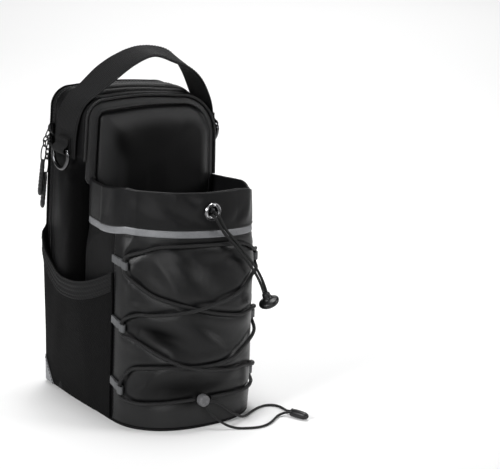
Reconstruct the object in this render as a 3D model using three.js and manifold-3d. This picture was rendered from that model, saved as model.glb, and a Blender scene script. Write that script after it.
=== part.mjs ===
// An upright sports bag: a zipped case, a drawstring bottle pocket on its front and a mesh pocket on each side.
// Millimetres, +Z up, +Y towards the back, origin at the middle of the base.

import * as THREE from 'three';
import { mergeVertices } from 'three/addons/utils/BufferGeometryUtils.js';
import Module from 'manifold-3d';

const wasm = await Module();
wasm.setup();

const { lerp, smoothstep, degToRad } = THREE.MathUtils;
const vec = (x, y, z) => new THREE.Vector3(x, y, z);

// Driving dimensions
const gap = 0.3; // between pieces that are sewn or set against each other
const baseThick = 3;
const wallFoot = baseThick + gap; // the walls stand on the base
const body = {
  half: 73, bulge: 3.5, top: 300, crown: 3, leftCorner: 20, rightCorner: 34,
  frontY: 25, gussetBackY: 79.7, backY: 90, wall: 2.5, puff: 1.5,
  softEdge: 12, softReach: 26, crispEdge: 3, softBelow: 236, crispAbove: 250, tightest: 4,
};
const pocket = { seam: 0.6, seamY: -36, attachY: 24.6, wall: 2, seamGap: 0.001, quarter: 103 };
const band = { stripLow: 184, stripHigh: 190.5, rim: 231, collarWall: 3, collarPuff: 1.2 };
const strip = { proud: 0.8, sunk: 1.2 };
const meshPocket = {
  wall: 1.2, sewn: 1.5, bulge: 7.5, flare: 4, backY: 91,
  dip: 124, dipAt: 0.62, frontRise: 25, backRise: 28, hem: 18, hemWall: 1, hemProud: 0.6,
  bellyFoot: 0.4, bellyCurve: 0.8, flareFrom: 0.78, seamStep: 0.5,
};
const patch = { high: 30, from: 0.83, tip: 1, thick: 0.7 };
const handle = { width: 39, thick: 2.2, steps: 28 };
const ring = { wire: 2, half: 14.5, bar: 11, shoulder: 4, drop: 19, x: 83.6 };
const ringPlaces = [{ label: 'left', side: -1, y: 52, z: 250 }, { label: 'right', side: 1, y: 48, z: 262 }];
const tab = { width: 22, hole: 2.6, wrap: 1.6, strap: 2.3, high: 12, inner: 79.5, lap: 7, heel: 3.4 };
const cord = { bungee: 1.75, draw: 1.4, tail: 1.2, sides: 8, steps: 18 };
const loop = { tall: 7, reach: 16, sheet: 0.8, eye: 2.6, under: 0.5, drop: 5, pitch: 60, topZ: 161 };
const eyelet = { across: 0.012, z: 210.5, outer: 9, hole: 5.4, barrel: 5.9, inside: -2.4, clear: 0.4 };
const lock = { z: 29, across: -0.03, radius: 5.8, long: 8, low: 0.5 };

// Bottle pocket by height: half width, front depth, squareness of each front corner, sideways sag and droop
const pocketSections = [
  { z: 0, half: 73, front: -92, left: 2.3, right: 2.4, sag: 0, droop: 0, attach: 9.3 },
  { z: 14, half: 73.5, front: -93, left: 2.3, right: 2.4, sag: 1, droop: 0, attach: 9.3 },
  { z: 60, half: 73.5, front: -90, left: 2.2, right: 2.5, sag: 3, droop: 0, attach: 9.3 },
  { z: 120, half: 73.5, front: -85, left: 2, right: 2.6, sag: 4, droop: 1, attach: 9.3 },
  { z: 187, half: 74.5, front: -77, left: 1.6, right: 3, sag: 5, droop: 5, attach: 6 },
  { z: 231, half: 73, front: -73, left: 1.7, right: 3, sag: 7, droop: 6, attach: 6 },
];

// Rim of the collar, pulled down by its own weight: distance around and dip below a level rim
const rimDips = [
  { around: -1, dip: 6 }, { around: -0.6, dip: 3.2 }, { around: -0.45, dip: 5.4 }, { around: 0, dip: 3.4 },
  { around: 0.2, dip: 0.4 }, { around: 0.34, dip: 3 }, { around: 0.46, dip: 6.4 }, { around: 0.52, dip: 5.4 },
  { around: 0.6, dip: -2 }, { around: 0.72, dip: -2.2 }, { around: 0.85, dip: 2 }, { around: 1, dip: 9.3 },
];

// Soft folds of the front: place across from the middle, height, length, width, lean from upright and rise
const frontFolds = [
  { across: -33, z: 148, long: 34, wide: 12, lean: -24, rise: 2.4 },
  { across: 8, z: 146, long: 36, wide: 14, lean: -16, rise: -1.6 },
  { across: -53, z: 92, long: 20, wide: 9, lean: -77, rise: -1.2 },
  { across: -41, z: 74, long: 20, wide: 9, lean: -74, rise: 1.2 },
  { across: -7, z: 86, long: 28, wide: 11, lean: -44, rise: 2.2 },
  { across: 26, z: 72, long: 24, wide: 14, lean: -40, rise: -1.4 },
  { across: -59, z: 44, long: 18, wide: 9, lean: 45, rise: 1.6 },
  { across: -22, z: 40, long: 24, wide: 10, lean: -86, rise: -1.2 },
];
const foldFade = { seam: 0.12, top: 180, topRun: 24, foot: 4, footRun: 16 };

// Moulded front panel, from its edge inwards: distance from the edge and how proud the face stands
const frontRelief = [
  { inset: 0, proud: 0 }, { inset: 1.5, proud: 1.2 }, { inset: 8, proud: 1.5 }, { inset: 10.5, proud: -0.6 },
  { inset: 13, proud: 1.8 }, { inset: 20, proud: 6 }, { inset: 29, proud: 10 }, { inset: 48, proud: 10 },
];
const frontPanel = { edge: 2, shell: 3.5, bulgeFrom: 20 };
const backRelief = [
  { inset: 0, proud: 0 }, { inset: 1.5, proud: 1.4 }, { inset: 9, proud: 1.8 }, { inset: 11, proud: 0.9 },
  { inset: 14, proud: 2 }, { inset: 34, proud: 3 },
];
const backPanel = { edge: 1.2, lining: 30 };

// Centre line of the carry handle, from its left end over the top to its right end
const handleRun = [
  { x: -77.9, y: 54, z: 243 }, { x: -78, y: 53, z: 262 }, { x: -77, y: 50, z: 280 }, { x: -71.5, y: 47, z: 296 },
  { x: -57, y: 46, z: 309 }, { x: -38, y: 46, z: 323 }, { x: -18, y: 46, z: 335 }, { x: 6, y: 46, z: 342.5 },
  { x: 27, y: 46, z: 340 }, { x: 44, y: 46, z: 330 }, { x: 57, y: 46, z: 315 }, { x: 66.5, y: 47, z: 300 },
  { x: 74, y: 49, z: 283 }, { x: 77.6, y: 52, z: 264 }, { x: 77.9, y: 54, z: 246 },
];

// Free cords, laid by hand: the drawcord over the front to its toggle, the tail over the floor to its end
const drawcordUpper = [
  [10.7, -73.4, 207.9], [10.8, -78.2, 207.6], [12.6, -81, 204.4], [16.2, -81.2, 198.4], [21, -81.4, 190.6],
  [26.6, -82.6, 184], [32.8, -84, 177], [39.2, -83.8, 169.6], [45.6, -82.4, 162.6], [51.6, -80.8, 156],
  [57.4, -79.4, 149.4], [62.4, -78.8, 142.6], [66.6, -78.8, 135.4], [69.8, -79, 128.4], [72.2, -79.4, 122],
];
const drawcordLower = [
  [8.1, -73.4, 205.2], [8.1, -78.6, 205], [9.8, -81.2, 201.4], [13.6, -81.4, 195.4], [18.4, -81.8, 188.4],
  [24, -83, 181.8], [30.2, -84.4, 174.8], [36.6, -84.2, 167.4], [43, -82.8, 160.4], [49, -81.2, 153.8],
  [54.8, -79.8, 147.2], [59.6, -79.2, 140.6], [63.6, -79.2, 133.8], [66.8, -79.4, 127.2], [69, -79.8, 121.4],
];
const tailUpper = [
  [-1.8, -98.4, 28.1], [2.6, -98.8, 27.2], [8.4, -100.4, 24.8], [14.6, -101.8, 20.2], [22, -101.8, 14.2],
  [31, -99.2, 8.4], [40, -94.8, 3.9], [49, -89.2, 1.8], [58, -83.6, 1.5], [66, -79.4, 1.5], [74.4, -76.4, 1.5],
  [82.4, -75.8, 1.5], [88.4, -79, 1.5], [91.2, -85, 1.5], [91.2, -91, 1.6], [90, -96.6, 2.2], [89, -101.6, 3.2],
  [89.7, -106.3, 4.2],
];
const tailLower = [
  [-5.1, -98.4, 23.7], [-3, -98.9, 19.6], [0, -101, 15.2], [4.6, -103.8, 10.8], [10.2, -107, 6.2],
  [17, -110.4, 2.8], [24, -114, 1.5], [31, -117.4, 1.5], [38, -119.6, 1.5], [45, -120.2, 1.5], [52, -118.8, 1.5],
  [58.4, -116, 1.5], [64.4, -112.2, 1.5], [69.8, -108.2, 1.5], [74.8, -105.2, 1.8], [79.4, -104.3, 2.5],
  [83.4, -105.2, 3.3], [86.7, -108.1, 4.2],
];

// Finishes: colour, roughness and metalness
const finishes = {
  shellCloth: { color: 0x1c1c1e, roughness: 0.62, metalness: 0 },
  satinCloth: { color: 0x2a2a2d, roughness: 0.45, metalness: 0 },
  netting: { color: 0x18181a, roughness: 0.9, metalness: 0 },
  webbing: { color: 0x19191b, roughness: 0.8, metalness: 0 },
  reflective: { color: 0x8a8c90, roughness: 0.4, metalness: 0.2 },
  cordSheath: { color: 0x151517, roughness: 0.7, metalness: 0 },
  nickel: { color: 0xb8b9bb, roughness: 0.25, metalness: 1 },
  gunmetal: { color: 0x4a4b4e, roughness: 0.3, metalness: 1 },
  blackPlastic: { color: 0x161618, roughness: 0.5, metalness: 0 },
  greyPlastic: { color: 0x6c6d70, roughness: 0.5, metalness: 0 },
};

const group = new THREE.Group();

function addPiece(name, geometry, finish) {
  const mesh = new THREE.Mesh(geometry, new THREE.MeshStandardMaterial(finishes[finish]));
  mesh.name = name;
  group.add(mesh);
  return mesh;
}

// Geometry helpers

function signedVolume(position, index) {
  const [a, b, c] = [vec(), vec(), vec()];
  let volume = 0;
  for (let i = 0; i < index.length; i += 3) {
    a.fromBufferAttribute(position, index[i]);
    b.fromBufferAttribute(position, index[i + 1]);
    c.fromBufferAttribute(position, index[i + 2]);
    volume += a.dot(b.cross(c)) / 6;
  }
  return volume;
}

// Welds the corners of a geometry and turns its faces outwards
function solid(geometry) {
  geometry.deleteAttribute('normal');
  geometry.deleteAttribute('uv');
  const welded = mergeVertices(geometry, 1e-3);
  const index = Array.from(welded.index.array);
  if (signedVolume(welded.attributes.position, index) < 0) index.reverse();
  welded.setIndex(index);
  welded.computeVertexNormals();
  return welded;
}

function fromPoints(points, index) {
  const geometry = new THREE.BufferGeometry();
  const places = points.flatMap((p) => [p.x, p.y, p.z]);
  geometry.setAttribute('position', new THREE.Float32BufferAttribute(places, 3));
  geometry.setIndex(index);
  return solid(geometry);
}

// A cloth wall: rows of points on its outer face and the matching rows on its inner face
function sheet(outer, inner) {
  const rows = outer.length;
  const cols = outer[0].length;
  const index = [];
  const at = (face, row, col) => face * rows * cols + row * cols + col;
  const quad = (a, b, c, d) => index.push(a, b, c, a, c, d);
  for (let r = 0; r < rows - 1; r++) {
    for (let c = 0; c < cols - 1; c++) {
      quad(at(0, r, c), at(0, r, c + 1), at(0, r + 1, c + 1), at(0, r + 1, c));
      quad(at(1, r, c), at(1, r + 1, c), at(1, r + 1, c + 1), at(1, r, c + 1));
    }
    const last = cols - 1;
    quad(at(0, r, 0), at(0, r + 1, 0), at(1, r + 1, 0), at(1, r, 0));
    quad(at(0, r, last), at(1, r, last), at(1, r + 1, last), at(0, r + 1, last));
  }
  for (let c = 0; c < cols - 1; c++) {
    const last = rows - 1;
    quad(at(0, 0, c), at(1, 0, c), at(1, 0, c + 1), at(0, 0, c + 1));
    quad(at(0, last, c), at(0, last, c + 1), at(1, last, c + 1), at(1, last, c));
  }
  return fromPoints([...outer.flat(), ...inner.flat()], index);
}

// A closed skin through rings of points, each end closed to its middle
function loft(rings) {
  const count = rings[0].length;
  const points = rings.flat();
  const index = [];
  for (let r = 0; r < rings.length - 1; r++) {
    for (let c = 0; c < count; c++) {
      const a = r * count + c;
      const b = r * count + ((c + 1) % count);
      index.push(a, b, b + count, a, b + count, a + count);
    }
  }
  [0, rings.length - 1].forEach((r, end) => {
    const middle = rings[r].reduce((sum, p) => sum.add(p), vec(0, 0, 0)).divideScalar(count);
    points.push(middle);
    for (let c = 0; c < count; c++) {
      const a = r * count + c;
      const b = r * count + ((c + 1) % count);
      if (end === 0) index.push(b, a, points.length - 1);
      else index.push(a, b, points.length - 1);
    }
  });
  return fromPoints(points, index);
}

// Round cord through points, in even steps or with a number of steps between one point and the next
function tube(points, radius, sides, steps, stepsEach = 0) {
  const section = new THREE.Shape();
  for (let i = 0; i < sides; i++) {
    const turn = (2 * Math.PI * i) / sides;
    section[i ? 'lineTo' : 'moveTo'](radius * Math.cos(turn), radius * Math.sin(turn));
  }
  section.closePath();
  const extrudePath = new THREE.CatmullRomCurve3(points, false, 'centripetal');
  if (stepsEach) {
    extrudePath.getPointAt = extrudePath.getPoint;
    extrudePath.getTangentAt = extrudePath.getTangent;
  }
  const count = stepsEach * (points.length - 1) || steps;
  return solid(new THREE.ExtrudeGeometry(section, { steps: count, extrudePath, curveSegments: 1 }));
}

function toManifold(geometry) {
  const vertProperties = new Float32Array(geometry.attributes.position.array);
  const triVerts = new Uint32Array(geometry.index.array);
  return new wasm.Manifold(new wasm.Mesh({ numProp: 3, vertProperties, triVerts }));
}

function fromManifold(manifold) {
  const { vertProperties, triVerts } = manifold.getMesh();
  const geometry = new THREE.BufferGeometry();
  geometry.setAttribute('position', new THREE.BufferAttribute(vertProperties, 3));
  geometry.setIndex(Array.from(triVerts));
  return solid(geometry);
}

const joined = (a, b) => fromManifold(toManifold(a).add(toManifold(b)));
const cut = (a, b) => fromManifold(toManifold(a).subtract(toManifold(b)));
const spread = (from, to, count) => Array.from({ length: count + 1 }, (_, i) => lerp(from, to, i / count));

// Zipped case

const archSteps = { corner: 4, top: 4 };
const sideStops = [0, 90, 180, 226, 236, 243, 250]; // heights where the sides are stationed
const sideX = (z) => body.half + body.bulge * Math.sin((Math.PI * z) / body.top);

function topCorner(side, inset) {
  const full = side < 0 ? body.leftCorner : body.rightCorner;
  const radius = Math.max(full - inset, body.tightest);
  return { radius, x: side * (sideX(body.top - full) - inset - radius), z: body.top - inset - radius };
}

// Outline of the case from the front, up its left side, over the top and down its right side
function caseArch(inset, foot) {
  const left = topCorner(-1, inset);
  const right = topCorner(1, inset);
  const points = [];
  for (const stop of sideStops) {
    const z = lerp(foot, left.z, stop / (body.top - body.leftCorner));
    points.push({ x: inset - sideX(z), z });
  }
  for (let i = 0; i < archSteps.corner; i++) {
    const turn = Math.PI - (Math.PI / 2) * (i / archSteps.corner);
    points.push({ x: left.x + left.radius * Math.cos(turn), z: left.z + left.radius * Math.sin(turn) });
  }
  for (let i = 0; i < archSteps.top; i++) {
    const t = i / archSteps.top;
    const crown = body.crown * Math.sin(Math.PI * t);
    points.push({ x: lerp(left.x, right.x, t), z: body.top - inset + crown });
  }
  for (let i = 0; i < archSteps.corner; i++) {
    const turn = (Math.PI / 2) * (1 - i / archSteps.corner);
    points.push({ x: right.x + right.radius * Math.cos(turn), z: right.z + right.radius * Math.sin(turn) });
  }
  for (const stop of [body.top - body.rightCorner, ...sideStops.toReversed()]) {
    const z = lerp(foot, right.z, stop / (body.top - body.rightCorner));
    points.push({ x: sideX(z) - inset, z });
  }
  return points;
}

const archLine = caseArch(0, wallFoot);
const archInner = caseArch(1, wallFoot);

// Point of the case's skin: place along the outline, depth and distance out of the outline
function skinAt(i, y, out) {
  const [line, inner] = [archLine[i], archInner[i]];
  return vec(line.x + (line.x - inner.x) * out, y, line.z + (line.z - inner.z) * out);
}

// The front edge is crisp under the piping and rolls in softly below it
const crispness = (z) => smoothstep(z, body.softBelow, body.crispAbove);
const edgeRadius = (z) => lerp(body.softEdge, body.crispEdge, crispness(z));
const edgeReach = (z) => lerp(body.softReach, body.crispEdge, crispness(z));

function rolledIn(depth, z) {
  const left = Math.max(1 - depth / edgeReach(z), 0);
  return edgeRadius(z) * (1 - Math.sqrt(1 - left * left));
}

function makeGusset() {
  const depths = [0, 1.2, 5, 12, 26, body.gussetBackY - body.frontY];
  const face = (inner) => depths.map((depth) => archLine.map((p, i) => {
    const puff = body.puff * Math.sin((Math.PI * depth) / depths.at(-1));
    return skinAt(i, body.frontY + depth, puff - rolledIn(depth, p.z) - inner);
  }));
  return sheet(face(0), face(body.wall));
}

// Closed outline of a case panel, a given distance in from its edge
function panelRing(inset, edge, y, narrowed) {
  const foot = wallFoot + inset;
  const ringPoints = caseArch(edge + inset, foot).map(({ x, z }) => {
    const share = narrowed ? Math.max(0, 1 - inset / frontPanel.bulgeFrom) : 0;
    return vec(x - Math.sign(x) * (edgeRadius(z) - body.crispEdge) * share, y, z);
  });
  const [first, last] = [ringPoints[0], ringPoints.at(-1)];
  const bottom = [0.25, 0.5, 0.75].map((t) => vec(lerp(last.x, first.x, t), y, foot));
  return [...ringPoints, ...bottom];
}

function makeFrontPanel() {
  const rearY = body.frontY - gap;
  const edge = body.crispEdge + gap;
  const faceY = (proud) => rearY - frontPanel.edge - proud;
  const front = frontRelief.map(({ inset, proud }) => panelRing(inset, edge, faceY(proud), true));
  const hollow = frontRelief.filter(({ inset }) => inset === 0 || inset >= frontPanel.bulgeFrom);
  const rear = hollow.map(({ inset, proud }) => {
    const y = inset === 0 ? rearY : Math.min(rearY, faceY(proud) + frontPanel.shell);
    return panelRing(inset, edge, y, true);
  });
  return loft([...rear.reverse(), ...front]);
}

function makeBackPanel() {
  const faceY = (proud) => body.backY + backPanel.edge + proud;
  const rings = backRelief.map(({ inset, proud }) => panelRing(inset, 0, faceY(proud), false));
  const lining = [backPanel.lining, 0].map((inset) => panelRing(inset, 0, body.backY, false));
  return loft([...lining, ...rings]);
}

// Zip: two tapes on the gusset's back edge with a raised coil between them
function makeZip() {
  const zip = { coil: 2.6, rise: 1.2, sunk: -1.4, thick: 1.2 };
  const [from, to] = [body.gussetBackY + gap, body.backY - gap];
  const middle = (from + to) / 2;
  const section = [
    { y: from, out: zip.sunk }, { y: middle - zip.coil, out: zip.sunk },
    { y: middle, out: zip.sunk + zip.rise },
    { y: middle + zip.coil, out: zip.sunk }, { y: to, out: zip.sunk },
  ];
  const outer = section.map(({ y, out }) => archLine.map((_, i) => skinAt(i, y, out)));
  const inner = section.map(({ y }) => archLine.map((_, i) => skinAt(i, y, zip.sunk - zip.thick)));
  return sheet(outer, inner);
}

function makePiping() {
  const pipe = { radius: 1.5, out: -1.2, y: 23.1, endZ: 241, near: 20, sides: 6, steps: 30 };
  const run = archLine.map((p, i) => skinAt(i, pipe.y, pipe.out)).filter((p) => p.z > pipe.endZ - pipe.near);
  run[0].z = pipe.endZ;
  run.at(-1).z = pipe.endZ;
  return tube(run, pipe.radius, pipe.sides, pipe.steps);
}

addPiece('case_gusset', makeGusset(), 'shellCloth');
addPiece('case_front_panel', makeFrontPanel(), 'shellCloth');
addPiece('case_back_panel', makeBackPanel(), 'shellCloth');
addPiece('zip_tape', makeZip(), 'netting');
addPiece('front_piping', makePiping(), 'shellCloth');

// Bottle pocket

function pocketSection(z) {
  const rows = pocketSections;
  const high = rows.findIndex((row) => row.z >= z);
  if (high <= 0) return high === 0 ? rows[0] : rows.at(-1);
  const [below, above] = [rows[high - 1], rows[high]];
  const t = (z - below.z) / (above.z - below.z);
  return Object.fromEntries(Object.keys(above).map((key) => [key, lerp(below[key], above[key], t)]));
}

// Plan of the pocket wall at a height: around runs from -1 at the case's left to 1 at its right
function pocketPlan(around, z) {
  const row = pocketSection(z);
  const side = Math.sign(around);
  const far = Math.abs(around);
  if (far <= pocket.seam) {
    const turn = ((far / pocket.seam) * Math.PI) / 2;
    const power = 2 / (side < 0 ? row.left : row.right);
    const forward = Math.max(Math.cos(turn), 0) ** power;
    return { x: side * row.half * Math.sin(turn) ** power, y: lerp(pocket.seamY, row.front, forward), row };
  }
  const t = (far - pocket.seam) / (1 - pocket.seam);
  const attachX = sideX(z) - row.attach;
  return { x: side * lerp(row.half, attachX, t * t), y: lerp(pocket.seamY, pocket.attachY, t), row };
}

// Rise of the soft folds at a place on the front, fading out at the seams
function foldRise(around, z) {
  const across = (around / pocket.seam) * pocket.quarter;
  const { seam, top, topRun, foot, footRun } = foldFade;
  const atSeam = smoothstep(pocket.seam - Math.abs(around), 0, seam);
  const fade = atSeam * smoothstep(top - z, 0, topRun) * smoothstep(z, foot, foot + footRun);
  let rise = 0;
  for (const fold of frontFolds) {
    const lean = degToRad(fold.lean);
    const [dx, dz] = [across - fold.across, z - fold.z];
    const along = (dx * Math.sin(lean) + dz * Math.cos(lean)) / fold.long;
    const aside = (dx * Math.cos(lean) - dz * Math.sin(lean)) / fold.wide;
    rise += fold.rise * Math.exp(-along * along - aside * aside);
  }
  return rise * fade;
}

const collarRise = (z) => (z - band.stripHigh) / (band.rim - band.stripHigh);

function rimDip(around) {
  const next = Math.max(rimDips.findIndex((row) => row.around >= around), 1);
  const [before, after] = [rimDips[next - 1], rimDips[next]];
  return lerp(before.dip, after.dip, (around - before.around) / (after.around - before.around));
}

// Point on the pocket's skin, a distance out of it, with the sideways sag and the droop of the slack sides
function pocketAt(around, z, out = 0) {
  const step = 1e-3;
  const here = pocketPlan(around, z);
  const before = pocketPlan(Math.max(around - step, -1), z);
  const after = pocketPlan(Math.min(around + step, 1), z);
  const along = new THREE.Vector2(after.x - before.x, after.y - before.y).normalize();
  const stand = out + foldRise(around, z);
  const slack = Math.abs(around) > 0.5 ? Math.sin(2 * Math.PI * (1 - Math.abs(around))) : 0;
  const dip = rimDip(around) * Math.max(collarRise(z), 0);
  const drop = (here.row.sag * here.x) / here.row.half + here.row.droop * slack + dip;
  return vec(here.x + along.y * stand, here.y - along.x * stand, z - drop);
}

function pocketWall(arounds, heights, outerOut, innerOut) {
  const face = (outOf) => heights.map((z) => arounds.map((around) => pocketAt(around, z, outOf(z))));
  return sheet(face(outerOut), face(innerOut));
}

const wallHeights = [wallFoot, 14, 34, 54, 74, 94, 114, 136, 160, band.stripLow - gap];
const frontEdge = pocket.seam - pocket.seamGap / 2;
const sideEdge = pocket.seam + pocket.seamGap * 1.5;
const flat = (out) => () => out;
const frontArounds = spread(-1, 1, 20).map((t) => t * frontEdge);
addPiece('pocket_front', pocketWall(frontArounds, wallHeights, flat(0), flat(-pocket.wall)), 'satinCloth');
const sideHeights = [wallFoot, 40, 80, 120, 150, band.stripLow - gap];
for (const [label, side] of [['left', -1], ['right', 1]]) {
  const arounds = spread(sideEdge, 1, 5).map((far) => side * far);
  addPiece(`pocket_side_${label}`, pocketWall(arounds, sideHeights, flat(0), flat(-pocket.wall)), 'shellCloth');
}
const bandArounds = [
  ...spread(-1, -pocket.seam, 5),
  ...spread(-pocket.seam, pocket.seam, 20).slice(1),
  ...spread(pocket.seam, 1, 5).slice(1),
];
const stripHeights = [band.stripLow, band.stripHigh];
const stripWall = pocketWall(bandArounds, stripHeights, flat(strip.proud), flat(-strip.sunk));
addPiece('reflective_strip', stripWall, 'reflective');

// Base: one flat panel under the case and the bottle pocket
function makeBase() {
  const outline = new THREE.Shape();
  const foot = pocketSections[0];
  outline.moveTo(-foot.half, pocket.seamY);
  for (const t of spread(-1, 1, 28).slice(1)) {
    const { x, y } = pocketPlan(t * pocket.seam, 0);
    outline.lineTo(x, y);
  }
  outline.lineTo(foot.half, body.backY);
  outline.lineTo(-foot.half, body.backY);
  outline.closePath();
  return solid(new THREE.ExtrudeGeometry(outline, { depth: baseThick, bevelEnabled: false }));
}
addPiece('base_panel', makeBase(), 'shellCloth');

// Collar with its eyelet

function facing(around, z) {
  const place = pocketAt(around, z, 0);
  const normal = pocketAt(around, z, 1).sub(place).normalize();
  return { place, turn: new THREE.Quaternion().setFromUnitVectors(vec(0, 1, 0), normal) };
}

function placed(geometry, { place, turn }) {
  geometry.applyQuaternion(turn);
  geometry.translate(place.x, place.y, place.z);
  return geometry;
}

function lathe(profile, sides) {
  const points = profile.map(([radius, height]) => new THREE.Vector2(radius, height));
  return solid(new THREE.LatheGeometry(points, sides));
}

const collarOut = (z) => band.collarPuff * Math.sin(Math.PI * collarRise(z));
const collarHeights = [band.stripHigh + gap, 201, 211, 221, band.rim];
const collarInner = (z) => collarOut(z) - band.collarWall;
const collarWall = pocketWall(bandArounds, collarHeights, collarOut, collarInner);
const eyeletSeat = facing(eyelet.across, eyelet.z);
const holeRadius = eyelet.barrel + eyelet.clear;
const hole = solid(new THREE.CylinderGeometry(holeRadius, holeRadius, 2 * eyelet.outer, 16));
addPiece('pocket_collar', cut(collarWall, placed(hole, eyeletSeat)), 'satinCloth');
const flange = { low: band.collarPuff + gap + 0.2, edge: 0.9, crest: 1.3, lip: 0.5, edgeIn: 0.4, crestIn: 1.6 };
const eyeletProfile = [
  [eyelet.hole, eyelet.inside], [eyelet.barrel, eyelet.inside], [eyelet.barrel, flange.low],
  [eyelet.outer, flange.low], [eyelet.outer - flange.edgeIn, flange.low + flange.edge],
  [eyelet.outer - flange.crestIn, flange.low + flange.crest], [eyelet.hole, flange.low + flange.lip],
  [eyelet.hole, eyelet.inside],
];
addPiece('drawcord_eyelet', placed(lathe(eyeletProfile, 16), eyeletSeat), 'nickel');

// Cord loops on the two seams and the bungee cord laced through them

// Distance around the pocket for a length of cloth forward of a seam
function aroundFrom(side, length, z) {
  let far = pocket.seam;
  let run = 0;
  let last = pocketAt(side * far, z);
  while (run < length) {
    far -= 0.002;
    const next = pocketAt(side * far, z);
    run += next.distanceTo(last);
    last = next;
  }
  return side * far;
}

const loopZ = (row) => loop.topZ - row * loop.pitch;
const eyeOut = loop.under + loop.sheet + loop.eye;

// Point on a loop, which drops a little from its seam to its eye
function loopPoint(side, length, z, out) {
  return pocketAt(aroundFrom(side, length, z), z - loop.drop * (length / loop.reach), out);
}

// A ribbon folded round the cord: out along the cloth, round the eye and back over itself
function makeLoop(side, row) {
  const lower = loop.under + loop.sheet / 2;
  const upper = lower + loop.sheet + gap;
  const bend = loop.eye + loop.sheet / 2;
  const eye = spread(-70, 200, 5).map(degToRad).map((turn) => ({
    along: loop.reach + bend * Math.cos(turn), off: eyeOut + bend * Math.sin(turn),
  }));
  const run = [
    { along: 0.5, off: lower }, { along: loop.reach / 3, off: lower }, { along: loop.reach - 6.5, off: lower },
    ...eye,
    { along: loop.reach - 7.4, off: upper + 0.7 }, { along: loop.reach / 3, off: upper + 0.1 },
    { along: 0.5, off: upper },
  ];
  const ribbon = (out) => [-0.5, 0.5].map((edge) => run.map(({ along, off }, i) => {
    const [a, b] = [run[Math.max(i - 1, 0)], run[Math.min(i + 1, run.length - 1)]];
    const size = Math.hypot(b.along - a.along, b.off - a.off);
    const [nx, ny] = [(b.off - a.off) / size, (a.along - b.along) / size];
    const z = loopZ(row) + edge * loop.tall;
    return loopPoint(side, Math.max(along + nx * out, 0.2), z, off + ny * out);
  }));
  return sheet(ribbon(loop.sheet / 2), ribbon(-loop.sheet / 2));
}

for (const [label, side] of [['left', -1], ['right', 1]]) {
  for (const row of [0, 1, 2]) {
    addPiece(`cord_loop_${label}_${row + 1}`, makeLoop(side, row), 'reflective');
  }
}

// Lacing between the eyes: each run lists the places it passes, around, height and lift where it isn't low
const low = cord.bungee + 0.9;
const mid = low + cord.bungee;
const high = low + 2 * cord.bungee + 0.5;
const lacing = [
  { by: [[-0.14, 29], [-0.28, 27], [-0.4, 26]], eye: [-1, 2], upwards: true },
  {
    by: [[-0.43, 57], [-0.33, 61], [-0.18, 63], [-0.04, 62], [0.06, 64], [0.17, 70], [0.3, 80, mid]],
    eye: [1, 1], upwards: true,
  },
  {
    by: [[0.41, 107, mid], [0.3, 108], [0.18, 107], [0.05, 111], [-0.07, 118], [-0.19, 124], [-0.3, 130],
      [-0.38, 138]],
    eye: [-1, 0], upwards: true,
  },
  {
    by: [[-0.36, 170], [-0.28, 175], [-0.13, 177], [0.02, 177.5], [0.16, 177], [0.27, 173], [0.36, 167]],
    eye: [1, 0], upwards: false,
  },
  {
    by: [[0.41, 146, mid], [0.32, 142], [0.19, 132], [0.06, 124, mid], [-0.07, 118, high], [-0.19, 114, mid],
      [-0.31, 111.5], [-0.39, 110.5]],
    eye: [-1, 1], upwards: false,
  },
  {
    by: [[-0.42, 87], [-0.33, 80], [-0.22, 71, mid], [-0.12, 64, high], [0, 58, mid], [0.1, 55], [0.22, 54],
      [0.32, 51, mid]],
    eye: [1, 2], upwards: false,
  },
  { by: [[0.34, 29], [0.2, 29], [0.06, 30]] },
];

// The cord goes through an eye along its upright axis
function eyePoints([side, row], upwards) {
  const reach = loop.tall / 2 + 3;
  const heights = upwards ? [-reach, 0, reach] : [reach, 0, -reach];
  return heights.map((rise) => loopPoint(side, loop.reach, loopZ(row) + rise, eyeOut));
}

function lacingRun() {
  const points = [];
  for (const { by, eye, upwards } of lacing) {
    points.push(...by.map(([around, z, out = low]) => pocketAt(around, z, out)));
    if (eye) points.push(...eyePoints(eye, upwards));
  }
  return points;
}

const lockSeat = facing(lock.across, lock.z);
const lockEnd = (sign) => lockSeat.place.clone().add(vec(sign * (lock.radius + gap), -low, 1));
const bungeeRun = [lockEnd(-1), ...lacingRun(), lockEnd(1)];
addPiece('bungee_cord', tube(bungeeRun, cord.bungee, cord.sides, 0, 2), 'cordSheath');

const lockTop = lock.low + lock.long;
const lockProfile = [
  [0, lock.low], [lock.radius - 1, lock.low], [lock.radius, lock.low + 1], [lock.radius, lockTop - 1.5],
  [lock.radius - 1.5, lockTop], [2.4, lockTop], [2, lockTop - 0.6], [0, lockTop - 0.6],
];
addPiece('cord_lock', placed(lathe(lockProfile, 14), lockSeat), 'greyPlastic');

// Free cords and the pieces on their ends

function freeCord(route, radius) {
  return tube(route.map(([x, y, z]) => vec(x, y, z)), radius, cord.sides, cord.steps);
}

addPiece('drawcord_upper', freeCord(drawcordUpper, cord.draw), 'cordSheath');
addPiece('drawcord_lower', freeCord(drawcordLower, cord.draw), 'cordSheath');
addPiece('tail_cord_upper', freeCord(tailUpper, cord.tail), 'cordSheath');
addPiece('tail_cord_lower', freeCord(tailLower, cord.tail), 'cordSheath');

// A turned piece just beyond the ends of two strands, its axis along a direction
function endPiece(upper, lower, direction, profile, sides) {
  const axis = direction.clone().normalize();
  const middle = vec(...upper.at(-1)).add(vec(...lower.at(-1))).multiplyScalar(0.5);
  const place = middle.addScaledVector(axis, 3 * gap);
  const turn = new THREE.Quaternion().setFromUnitVectors(vec(0, 1, 0), axis);
  return placed(lathe(profile, sides), { place, turn });
}

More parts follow.
